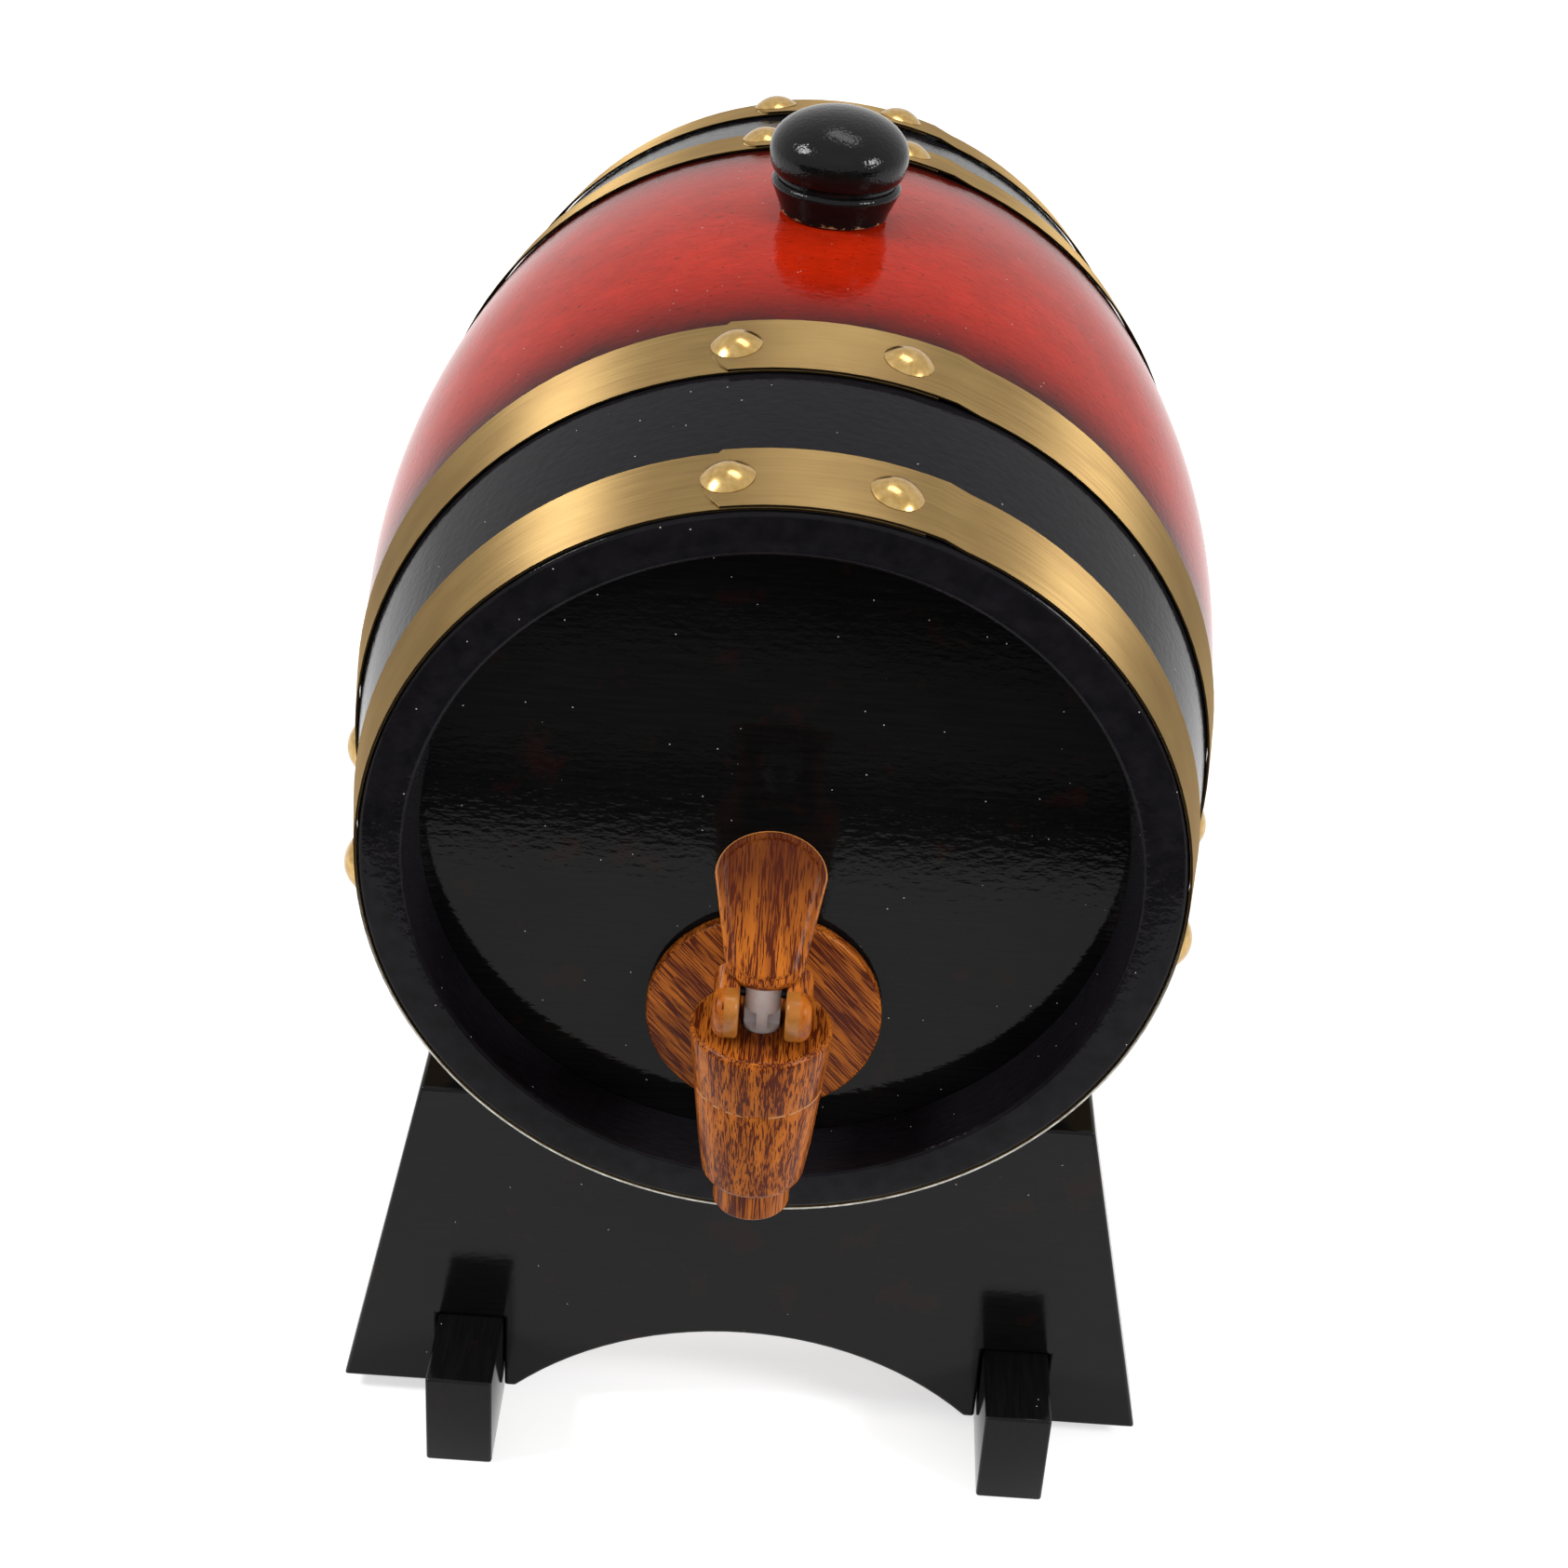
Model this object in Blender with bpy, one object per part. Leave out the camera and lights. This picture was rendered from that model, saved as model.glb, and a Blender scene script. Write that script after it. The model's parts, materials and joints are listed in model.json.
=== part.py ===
"""Table-top oak cask dispenser with a cam lever tap, on a cradle stand.

Metres, +X to the right, +Y to the back, +Z up. The origin is on the table, under the middle
of the whole object. The cask lies along Y: depths on it are measured back from its front rim,
and angles round it are measured from the top, clockwise as seen from the front.
"""
import math

import bmesh
import bpy
from mathutils import Matrix, Vector

for old_object in list(bpy.data.objects):
    bpy.data.objects.remove(old_object, do_unlink=True)

# Clearances and shared values
GAP = 0.0003
OVERRUN = 0.004
MERGE = 0.000001
SMOOTH_ANGLE = math.radians(35)
QUARTER_TURN = math.radians(90)
FULL_TURN = math.radians(360)

# Cask staves
CASK_LENGTH = 0.2214
CASK_AXIS_HEIGHT = 0.1538
CASK_ROLL = math.radians(2)
BELLY_RADIUS = 0.0906
RIM_RADIUS = 0.0772
STAVE_THICKNESS = 0.012
STAVE_COUNT = 12
STAVE_FACETS = 4
STAVE_STEPS = 10
BEND_SHARE = 0.45
RIM_CHAMFER = 0.0008
CHIME_THICKNESS = 0.0084
CHIME_DRAFT = 0.0013

# Cask heads, each held by a tongue in the staves' croze groove
HEAD_RECESS = 0.0129
HEAD_THICKNESS = 0.010
TONGUE_THICKNESS = 0.005
TONGUE_DEPTH = 0.0038

# Hoops: brass strip, bent round, lapped at the top and nailed
HOOP_WIDTH = 0.017
HOOP_THICKNESS = 0.0005
HOOP_INSET = 0.0003
BAND_WIDTH = 0.026
LAP_ANGLE = math.radians(14)
LAP_STEP_ANGLE = math.radians(15)
LAP_INNER_END_ANGLE = math.radians(12.6)
HOOP_CORNER_CLIP = 0.0025

# Domed hoop nails
NAIL_HEAD_RADIUS = 0.0045
NAIL_HEAD_HEIGHT = 0.0022
NAIL_SHANK_RADIUS = 0.0010
NAIL_SHANK_LENGTH = 0.0075
NAIL_POINT_LENGTH = 0.0012
NAIL_STEPS = 8
NAIL_DOME_STEPS = 3
TOP_NAIL_ANGLE = math.radians(10.7)
SIDE_NAIL_ANGLE = math.radians(97)

# Bung, in a hole just behind the middle of the top stave
BUNG_SET_BACK = 0.002
BUNG_SHANK_RADIUS = 0.0093
BUNG_TAPER = 0.0007
BUNG_SHANK_LENGTH = 0.015
BUNG_BASE_RADIUS = 0.0112
BUNG_BEAD_RADIUS = 0.0131
BUNG_BEAD_HEIGHT = 0.0050
BUNG_GROOVE_RADIUS = 0.0123
BUNG_GROOVE_HEIGHT = 0.0073
BUNG_CAP_RADIUS = 0.0141
BUNG_CAP_HEIGHT = 0.0127
BUNG_HEIGHT = 0.0214
BUNG_STEPS = 20
BUNG_DOME_STEPS = 5

# Tap: valve barrel, upright, at the front end of a level shank
FLANGE_TO_CHIME = 0.0082
TAP_REACH = 0.0226
TAP_STEPS = 24
ROUND_STEPS = 2
SHANK_RADIUS = 0.008
SHANK_BORE_RADIUS = 0.0045
NECK_RADIUS = 0.0095
SHANK_TAIL = 0.003
BARREL_TOP_RADIUS = 0.0119
BARREL_WAIST_RADIUS = 0.0106
BARREL_FOOT_RADIUS = 0.0097
BARREL_TOP = 0.0100
BARREL_WAIST = -0.0030
BARREL_FOOT = -0.0095
BARREL_FOOT_ROUND = 0.0022
SPOUT_RADIUS = 0.0072
SPOUT_BORE_RADIUS = 0.0052
SPOUT_BOTTOM = -0.0182
SPOUT_LIP_ROUND = 0.0006
CHAMBER_RADIUS = 0.0084
SEAT_HEIGHT = -0.0069
SEAT_THICKNESS = 0.0020
SEAT_HOLE_RADIUS = 0.0046

# Flange, gaskets and nut on the shank
FLANGE_RADIUS = 0.0232
FLANGE_THICKNESS = 0.0025
FLANGE_EDGE_ROUND = 0.0006
FLANGE_STEPS = 36
GASKET_RADIUS = 0.0122
OUTER_GASKET_RECESS = 0.0012
INNER_GASKET_THICKNESS = 0.002
NUT_SIDES = 6
NUT_ACROSS_FLATS = 0.024
NUT_THICKNESS = 0.007

# Bonnet, the screwed cap of the valve barrel
BONNET_RADIUS = 0.0131
BONNET_TOP = 0.0230
BONNET_EDGE_ROUND = 0.0009
BONNET_SKIRT_BOTTOM = 0.0052
SPRING_ROOM_RADIUS = 0.0066
SPRING_ROOM_TOP = 0.0171
SEAL_ROOM_RADIUS = 0.0053
SEAL_ROOM_HEIGHT = 0.0022
SEAL_WIRE_RADIUS = 0.0008
SEAL_WIRE_STEPS = 6

# Valve stem, seat washer and return spring
STEM_HEAD_RADIUS = 0.0034
STEM_SHAFT_RADIUS = 0.0030
STEM_HEAD_HEIGHT = 0.0034
STEM_HEAD_ROUND = 0.0012
STEM_COLLAR_RADIUS = 0.0062
STEM_COLLAR_THICKNESS = 0.0020
STEM_SPIGOT_RADIUS = 0.0020
STEM_BARB_RADIUS = 0.0029
STEM_BARB_LENGTH = 0.0014
STEM_RIB_WIDTH = 0.0020
STEM_WINDOW_SILL = 0.0006
STEM_WINDOW_HEIGHT = 0.0035
STEM_STEPS = 20
WASHER_RADIUS = 0.0066
WASHER_THICKNESS = 0.0022
SPRING_RADIUS = 0.0057
SPRING_WIRE_RADIUS = 0.00045
SPRING_TURNS = 6
SPRING_POINTS_PER_TURN = 9

# Lever: a paddle on two cam cheeks, turning on a pin through the stem
PIN_HEIGHT = 0.0070
PIN_RADIUS = 0.0012
PIN_INSET = 0.0003
LEVER_SWING = math.radians(90)
LEVER_LIFT = 0.0055
CHEEK_GAP = 0.0084
CHEEK_THICKNESS = 0.0047
CHEEK_EDGE_ROUND = 0.0009
CHEEK_HEEL = 0.0045
CHEEK_CORNER = 0.0015
CHEEK_WEB = 0.0045
CAM_STEPS = 6
BROW_STEPS = 3
PADDLE_TILT = math.radians(40.6)
PADDLE_LENGTH = 0.0295
PADDLE_LIP_DROP = 0.0016
PADDLE_TOP_WIDTH = 0.0204
PADDLE_LIP_WIDTH = 0.0142
PADDLE_TOP_ARC = 0.0084
PADDLE_LIP_ARC = 0.0044
PADDLE_THICKNESS = 0.0025
PADDLE_STAND_OFF = 0.0079
PADDLE_RIM_WIDTH = 0.0014
PADDLE_DISH = 0.0004
PADDLE_EDGE_ROUND = 0.0007
PADDLE_ARC_STEPS = 9

# Stand: two cradle panels slotted over two long bars, one screw at each crossing
BAR_WIDTH = 0.0141
BAR_HEIGHT = 0.0232
BAR_TO_PANEL_END = 0.021
PANEL_INSET = 0.0201
PANEL_THICKNESS = 0.015
PANEL_FOOT_CLEARANCE = 0.0036
PANEL_FOOT_WIDTH = 0.1746
PANEL_SHOULDER_WIDTH = 0.1390
PANEL_SHOULDER_DROP = 0.0687
ARCH_LAND = 0.0024
ARCH_RISE = 0.0199
CRADLE_STEPS = 20
ARCH_STEPS = 14
STAND_EDGE_ROUND = 0.0007
SCREW_HEAD_RADIUS = 0.0038
SCREW_SHANK_RADIUS = 0.0019
SCREW_HEAD_HEIGHT = 0.0024
SCREW_SUNK = 0.0008
SCREW_BITE = 0.013
SCREW_STEPS = 12

# Places worked out from the sizes above
CHIME_RADIUS = RIM_RADIUS - CHIME_THICKNESS
TAP_DROP = CHIME_RADIUS - FLANGE_TO_CHIME - FLANGE_RADIUS
BAR_SPACING = PANEL_FOOT_WIDTH - 2 * BAR_TO_PANEL_END - BAR_WIDTH
PANEL_SHOULDER_HEIGHT = CASK_AXIS_HEIGHT - PANEL_SHOULDER_DROP
OBJECT_LENGTH = CASK_LENGTH + TAP_REACH + BONNET_RADIUS
CASK_FRONT = BONNET_RADIUS + TAP_REACH - OBJECT_LENGTH / 2
VALVE_AXIS = CASK_FRONT - TAP_REACH
TAP_AXIS_HEIGHT = CASK_AXIS_HEIGHT - TAP_DROP
BUNG_SEAT = (0, -BELLY_RADIUS, CASK_LENGTH / 2 + BUNG_SET_BACK)
BUNG_TURN = (QUARTER_TURN, 0, 0)
HEAD_BACK = HEAD_RECESS + HEAD_THICKNESS
LAP_RISE = HOOP_THICKNESS + GAP
FLANGE_FRONT = HEAD_RECESS - GAP - FLANGE_THICKNESS
NECK_END = TAP_REACH + FLANGE_FRONT - GAP
INNER_GASKET_FRONT = HEAD_BACK + GAP
NUT_FRONT = INNER_GASKET_FRONT + INNER_GASKET_THICKNESS + GAP
SHANK_END = TAP_REACH + NUT_FRONT + NUT_THICKNESS + SHANK_TAIL
WASHER_BOTTOM = SEAT_HEIGHT + GAP
COLLAR_BOTTOM = WASHER_BOTTOM + WASHER_THICKNESS + GAP
COLLAR_TOP = COLLAR_BOTTOM + STEM_COLLAR_THICKNESS
BARB_TOP = WASHER_BOTTOM - GAP
PIN_LEVEL = BONNET_TOP + PIN_HEIGHT
CAM_BASE = PIN_HEIGHT - GAP
CAM_GROWTH = LEVER_LIFT / LEVER_SWING
LEVER_WIDTH = CHEEK_GAP + 2 * CHEEK_THICKNESS
PADDLE_MIDDLE = PADDLE_STAND_OFF - PADDLE_THICKNESS / 2


def material(name, colour, roughness, metallic):
    """A plain Principled finish; colour is linear RGB."""
    finish = bpy.data.materials.new(name)
    finish.use_nodes = True
    shader = finish.node_tree.nodes["Principled BSDF"]
    shader.inputs["Base Color"].default_value = (*colour, 1)
    shader.inputs["Roughness"].default_value = roughness
    shader.inputs["Metallic"].default_value = metallic
    finish.diffuse_color = (*colour, 1)
    return finish


def pivot(name, location, rotation=(0, 0, 0), parent=None):
    """An empty that carries the pieces of one axis."""
    empty = bpy.data.objects.new(name, None)
    bpy.context.collection.objects.link(empty)
    empty.location = location
    empty.rotation_euler = rotation
    empty.parent = parent
    return empty


def finish_mesh(name, shape):
    """Close a bmesh's seams, face it outwards and shade it smooth."""
    bmesh.ops.remove_doubles(shape, verts=shape.verts, dist=MERGE)
    bmesh.ops.recalc_face_normals(shape, faces=shape.faces)
    mesh = bpy.data.meshes.new(name)
    shape.to_mesh(mesh)
    shape.free()
    mesh.shade_smooth()
    mesh.set_sharp_from_angle(angle=SMOOTH_ANGLE)
    return mesh


def place(name, mesh, look, parent=None, location=(0, 0, 0), rotation=(0, 0, 0)):
    """One piece of the dispenser as an object with its own finish."""
    piece = bpy.data.objects.new(name, mesh)
    bpy.context.collection.objects.link(piece)
    piece.parent = parent
    piece.location = location
    piece.rotation_euler = rotation
    if mesh.materials:
        return piece
    mesh.materials.append(look)
    return piece


def tool(name, mesh, parent=None, location=(0, 0, 0), rotation=(0, 0, 0)):
    """A shape that only cuts or joins other pieces."""
    shape = bpy.data.objects.new(name, mesh)
    bpy.context.collection.objects.link(shape)
    shape.parent = parent
    shape.location = location
    shape.rotation_euler = rotation
    shape.hide_render = True
    shape.display_type = "WIRE"
    return shape


def combine(piece, other, operation):
    """Cut the other shape out of a piece, or join it on."""
    boolean = piece.modifiers.new(other.name, "BOOLEAN")
    boolean.operation = operation
    boolean.solver = "EXACT"
    boolean.object = other


def round_edges(piece, width, segments=1):
    """Round a piece's sharp edges over."""
    bevel = piece.modifiers.new("edge_round", "BEVEL")
    bevel.width = width
    bevel.segments = segments
    bevel.limit_method = "ANGLE"
    bevel.angle_limit = SMOOTH_ANGLE


def turned(name, profile, steps, closed=False, sweep=FULL_TURN, start=0.0):
    """Turn a (radius, height) outline about Z. A closed outline gives a ring or a sector."""
    shape = bmesh.new()
    points = []
    for radius, height in profile:
        points.append(shape.verts.new((radius * math.cos(start), radius * math.sin(start), height)))
    edges = [shape.edges.new(pair) for pair in zip(points, points[1:])]
    if closed:
        edges.append(shape.edges.new((points[-1], points[0])))
    bmesh.ops.spin(
        shape, geom=points + edges, axis=(0, 0, 1), cent=(0, 0, 0), dvec=(0, 0, 0),
        angle=sweep, steps=steps, use_merge=False, use_duplicate=False,
    )
    bmesh.ops.remove_doubles(shape, verts=shape.verts, dist=MERGE)
    open_edges = [edge for edge in shape.edges if edge.is_boundary]
    if open_edges:
        bmesh.ops.holes_fill(shape, edges=open_edges, sides=0)
    return finish_mesh(name, shape)


def extruded(name, outline, thickness, rim=None):
    """A flat outline in X and Y, thickened both ways along Z; rim insets and sinks its top face."""
    shape = bmesh.new()
    half = thickness / 2
    face = shape.faces.new([shape.verts.new((x, y, -half)) for x, y in outline])
    grown = bmesh.ops.extrude_face_region(shape, geom=[face], use_keep_orig=True)
    moved = [part for part in grown["geom"] if isinstance(part, bmesh.types.BMVert)]
    top = [part for part in grown["geom"] if isinstance(part, bmesh.types.BMFace)]
    bmesh.ops.translate(shape, verts=moved, vec=(0, 0, thickness))
    if rim:
        width, sink = rim
        bmesh.ops.recalc_face_normals(shape, faces=shape.faces)
        bmesh.ops.inset_region(shape, faces=top, thickness=width, depth=0)
        bmesh.ops.translate(shape, verts=top[0].verts, vec=(0, 0, -sink))
    return finish_mesh(name, shape)


def rod(name, radius, bottom, top, steps):
    """A plain round bar along Z."""
    return turned(name, [(0, bottom), (radius, bottom), (radius, top), (0, top)], steps)


def arc(centre, radii, first, last, steps):
    """Points on an ellipse arc, both ends included; angles from +X towards +Y."""
    points = []
    for step in range(steps + 1):
        angle = first + (last - first) * step / steps
        points.append((centre[0] + radii[0] * math.cos(angle), centre[1] + radii[1] * math.sin(angle)))
    return points


def bend(share):
    """How far a stave has bent in at a share of the half length: 0 at the belly, 1 at the rim."""
    reach = math.sqrt(1 + (share / BEND_SHARE) ** 2) - 1
    return reach / (math.sqrt(1 + (1 / BEND_SHARE) ** 2) - 1)


def cask_radius(depth):
    """The outer radius of the bare staves at a depth behind the front rim."""
    share = abs(2 * depth / CASK_LENGTH - 1)
    return BELLY_RADIUS - (BELLY_RADIUS - RIM_RADIUS) * bend(share)


def on_cask(angle, radius, depth):
    """A point in the cask's own frame, whose Z runs back and whose -Y is up."""
    return Vector((radius * math.sin(angle), -radius * math.cos(angle), depth))


RED_LACQUER = material("red_lacquered_oak", (0.50, 0.045, 0.018), 0.22, 0)
BLACK_LACQUER = material("black_lacquered_oak", (0.013, 0.013, 0.014), 0.25, 0)
BRUSHED_BRASS = material("brushed_brass_strip", (0.60, 0.41, 0.15), 0.35, 1)
POLISHED_BRASS = material("polished_brass_nail", (0.72, 0.52, 0.20), 0.18, 1)
WOODGRAIN_ABS = material("woodgrain_abs", (0.42, 0.15, 0.035), 0.38, 0)
WHITE_ACETAL = material("white_acetal", (0.72, 0.70, 0.68), 0.30, 0)
BLACK_PLASTIC = material("black_nylon", (0.02, 0.02, 0.02), 0.45, 0)
SILICONE = material("silicone_rubber", (0.55, 0.53, 0.50), 0.60, 0)
STEEL = material("stainless_steel", (0.56, 0.56, 0.57), 0.28, 1)
BLACK_STEEL = material("blackened_steel", (0.05, 0.05, 0.055), 0.40, 1)

cask = pivot("cask_axis", (0, CASK_FRONT, CASK_AXIS_HEIGHT), (-QUARTER_TURN, 0, 0))
# The cask lies loose in its cradle, rolled a little clockwise under the upright tap.
rolled_cask = pivot("rolled_cask_axis", (0, 0, 0), (0, 0, CASK_ROLL), cask)
shank_axis = pivot("shank_axis", (0, VALVE_AXIS, TAP_AXIS_HEIGHT), (-QUARTER_TURN, 0, 0))
valve_axis = pivot("valve_axis", (0, VALVE_AXIS, TAP_AXIS_HEIGHT))
lever_axis = pivot("lever_axis", (0, 0, PIN_LEVEL), (0, 0, 0), valve_axis)


# Staves

def stave_profile():
    """Radius and depth round one stave, from the front rim's outer corner."""
    groove_front = HEAD_RECESS - GAP
    groove_back = HEAD_RECESS + TONGUE_THICKNESS + GAP
    groove_radius = CHIME_RADIUS - CHIME_DRAFT + TONGUE_DEPTH + GAP
    outer = [(cask_radius(0) - RIM_CHAMFER, 0.0)]
    for step in range(STAVE_STEPS + 1):
        depth = RIM_CHAMFER + (CASK_LENGTH - 2 * RIM_CHAMFER) * step / STAVE_STEPS
        outer.append((cask_radius(depth), depth))
    outer.append((cask_radius(0) - RIM_CHAMFER, CASK_LENGTH))
    front_end = [
        (CHIME_RADIUS + RIM_CHAMFER, 0.0),
        (CHIME_RADIUS, RIM_CHAMFER),
        (CHIME_RADIUS - CHIME_DRAFT, groove_front),
        (groove_radius, groove_front),
        (groove_radius, groove_back),
    ]
    inner = []
    for step in range(STAVE_STEPS // 2 + 1):
        depth = groove_back + (CASK_LENGTH - 2 * groove_back) * 2 * step / STAVE_STEPS
        inner.append((cask_radius(depth) - STAVE_THICKNESS, depth))
    back_end = [(radius, CASK_LENGTH - depth) for radius, depth in reversed(front_end)]
    return outer + list(reversed(front_end + inner + back_end))


SECTOR = FULL_TURN / STAVE_COUNT
SEAM_ANGLE = GAP / CHIME_RADIUS
half_stave = (SECTOR - SEAM_ANGLE) / 2


def stave_mesh(name):
    """One stave, with its middle at the top of the cask."""
    return turned(
        name, stave_profile(), STAVE_FACETS, closed=True,
        sweep=2 * half_stave, start=-QUARTER_TURN - half_stave,
    )


plain_stave = stave_mesh("stave")
staves = []
for number in range(STAVE_COUNT):
    if number == 0:
        stave = place("stave_bung", stave_mesh("stave_bung"), RED_LACQUER, rolled_cask)
    else:
        stave = place(f"stave_{number:02d}", plain_stave, RED_LACQUER, rolled_cask)
    stave.rotation_euler = (0, 0, number * SECTOR)
    staves.append(stave)

bung_bore = tool(
    "bung_bore",
    rod("bung_bore", BUNG_SHANK_RADIUS + GAP, -STAVE_THICKNESS - OVERRUN, OVERRUN, BUNG_STEPS),
    rolled_cask, BUNG_SEAT, BUNG_TURN,
)
combine(staves[0], bung_bore, "DIFFERENCE")


# Heads

def head_mesh(name):
    """A round head with its front face at depth zero and a thin tongue all round."""
    tongue_radius = CHIME_RADIUS - CHIME_DRAFT + TONGUE_DEPTH
    shoulder_radius = cask_radius(HEAD_RECESS + TONGUE_THICKNESS) - STAVE_THICKNESS - 2 * GAP
    back_radius = shoulder_radius - (HEAD_THICKNESS - TONGUE_THICKNESS)
    return turned(name, [
        (0, 0), (tongue_radius, 0), (tongue_radius, TONGUE_THICKNESS),
        (shoulder_radius, TONGUE_THICKNESS), (back_radius, HEAD_THICKNESS), (0, HEAD_THICKNESS),
    ], STAVE_COUNT * STAVE_FACETS)


front_head = place(
    "front_head", head_mesh("front_head"), BLACK_LACQUER, rolled_cask, (0, 0, HEAD_RECESS),
)
place(
    "rear_head", head_mesh("rear_head"), BLACK_LACQUER, rolled_cask,
    (0, 0, CASK_LENGTH - HEAD_RECESS), (2 * QUARTER_TURN, 0, 0),
)
tap_hole = tool(
    "tap_hole",
    rod("tap_hole", SHANK_RADIUS + GAP, -OVERRUN, HEAD_THICKNESS + OVERRUN, TAP_STEPS),
    cask, (0, TAP_DROP, HEAD_RECESS),
)
combine(front_head, tap_hole, "DIFFERENCE")


# Hoops and their nails

def hoop_stations():
    """Angle, rise and width clipped off each side, from the outer end round to the inner end."""
    facet = SECTOR / STAVE_FACETS
    clip_angle = HOOP_CORNER_CLIP / RIM_RADIUS
    stations = [(-LAP_ANGLE, LAP_RISE, HOOP_CORNER_CLIP), (-LAP_ANGLE + clip_angle, LAP_RISE, 0.0)]
    for number in range(-1, STAVE_COUNT * STAVE_FACETS + 2):
        angle = number * facet
        rise = LAP_RISE if angle < LAP_STEP_ANGLE + facet / 2 else 0.0
        stations.append((angle, rise, 0.0))
    stations.append((FULL_TURN + LAP_INNER_END_ANGLE, 0.0, 0.0))
    return stations


def hoop_mesh(name, front):
    """A lapped strip round the cask, its front edge at a depth."""
    back = front + HOOP_WIDTH
    shape = bmesh.new()
    rings = []
    for angle, rise, clip in hoop_stations():
        ring = []
        for depth, step in ((front, clip), (back, -clip)):
            for thickness in (0.0, HOOP_THICKNESS):
                radius = cask_radius(depth) + GAP + rise + thickness
                ring.append(shape.verts.new(on_cask(angle, radius, depth + step)))
        rings.append([ring[0], ring[1], ring[3], ring[2]])
    for ring, following in zip(rings, rings[1:]):
        for corner in range(4):
            after = (corner + 1) % 4
            shape.faces.new((ring[corner], ring[after], following[after], following[corner]))
    shape.faces.new(rings[0])
    shape.faces.new(rings[-1])
    return finish_mesh(name, shape)


def nail_profile():
    """A dome on a pointed shank, its flat underside at height zero."""
    dome = arc((0, 0), (NAIL_HEAD_RADIUS, NAIL_HEAD_HEIGHT), QUARTER_TURN, 0, NAIL_DOME_STEPS)
    shoulder = -NAIL_SHANK_LENGTH
    return [(0, NAIL_HEAD_HEIGHT)] + dome[1:] + [
        (NAIL_SHANK_RADIUS, 0), (NAIL_SHANK_RADIUS, shoulder), (0, shoulder - NAIL_POINT_LENGTH),
    ]


nail_mesh = turned("hoop_nail", nail_profile(), NAIL_STEPS)
nail_bore_depth = NAIL_SHANK_LENGTH + NAIL_POINT_LENGTH + GAP
nail_bore_mesh = rod("nail_bore", NAIL_SHANK_RADIUS + GAP, -nail_bore_depth, OVERRUN, NAIL_STEPS)
quarter_front = HOOP_INSET + HOOP_WIDTH + BAND_WIDTH
hoop_fronts = {
    "front_chime_hoop": HOOP_INSET,
    "front_quarter_hoop": quarter_front,
    "rear_quarter_hoop": CASK_LENGTH - quarter_front - HOOP_WIDTH,
    "rear_chime_hoop": CASK_LENGTH - HOOP_INSET - HOOP_WIDTH,
}
nail_angles = {
    "top_left": -TOP_NAIL_ANGLE, "top_right": TOP_NAIL_ANGLE,
    "left": -SIDE_NAIL_ANGLE, "right": SIDE_NAIL_ANGLE,
}
for hoop_name, front in hoop_fronts.items():
    hoop = place(hoop_name, hoop_mesh(hoop_name, front), BRUSHED_BRASS, rolled_cask)
    front_radius = cask_radius(front)
    back_radius = cask_radius(front + HOOP_WIDTH)
    slope = math.atan2(back_radius - front_radius, HOOP_WIDTH)
    for place_name, angle in nail_angles.items():
        rise = LAP_RISE if place_name.startswith("top") else 0.0
        seat = (front_radius + back_radius) / 2 + GAP + rise + HOOP_THICKNESS + GAP
        outward = on_cask(angle, math.cos(slope), -math.sin(slope))
        turn = outward.to_track_quat("Z", "Y").to_euler()
        spot = on_cask(angle, seat, front + HOOP_WIDTH / 2)
        place(f"{hoop_name}_nail_{place_name}", nail_mesh, POLISHED_BRASS, rolled_cask, spot, turn)
        bore = tool(f"{hoop_name}_bore_{place_name}", nail_bore_mesh, rolled_cask, spot, turn)
        combine(hoop, bore, "DIFFERENCE")
        combine(staves[round(angle / SECTOR) % STAVE_COUNT], bore, "DIFFERENCE")


# Bung

def bung_profile():
    """Radius and height from the dome down to the end of the shank; the stave's top is at zero."""
    dome = arc(
        (0, BUNG_CAP_HEIGHT), (BUNG_CAP_RADIUS, BUNG_HEIGHT - BUNG_CAP_HEIGHT),
        QUARTER_TURN, 0, BUNG_DOME_STEPS,
    )
    cap_foot = (BUNG_CAP_HEIGHT + BUNG_GROOVE_HEIGHT) / 2
    bead_edge = BUNG_BEAD_RADIUS - GAP
    bead_half = (BUNG_GROOVE_HEIGHT - BUNG_BEAD_HEIGHT) / 2
    collar = (BUNG_BASE_RADIUS + BUNG_BEAD_RADIUS) / 2
    return [(0, BUNG_HEIGHT)] + dome[1:] + [
        ((BUNG_CAP_RADIUS + BUNG_BEAD_RADIUS) / 2, cap_foot),
        (BUNG_GROOVE_RADIUS, BUNG_GROOVE_HEIGHT),
        (bead_edge, BUNG_BEAD_HEIGHT + bead_half),
        (BUNG_BEAD_RADIUS, BUNG_BEAD_HEIGHT),
        (bead_edge, BUNG_BEAD_HEIGHT - bead_half),
        (collar, BUNG_BEAD_HEIGHT / 2),
        (BUNG_BASE_RADIUS, GAP),
        (BUNG_SHANK_RADIUS, GAP),
        (BUNG_SHANK_RADIUS - BUNG_TAPER, -BUNG_SHANK_LENGTH),
        (0, -BUNG_SHANK_LENGTH),
    ]


place(
    "bung", turned("bung", bung_profile(), BUNG_STEPS), BLACK_LACQUER, rolled_cask,
    BUNG_SEAT, BUNG_TURN,
)


# Tap body: a turned barrel and a turned shank in one moulding, bored both ways

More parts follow.
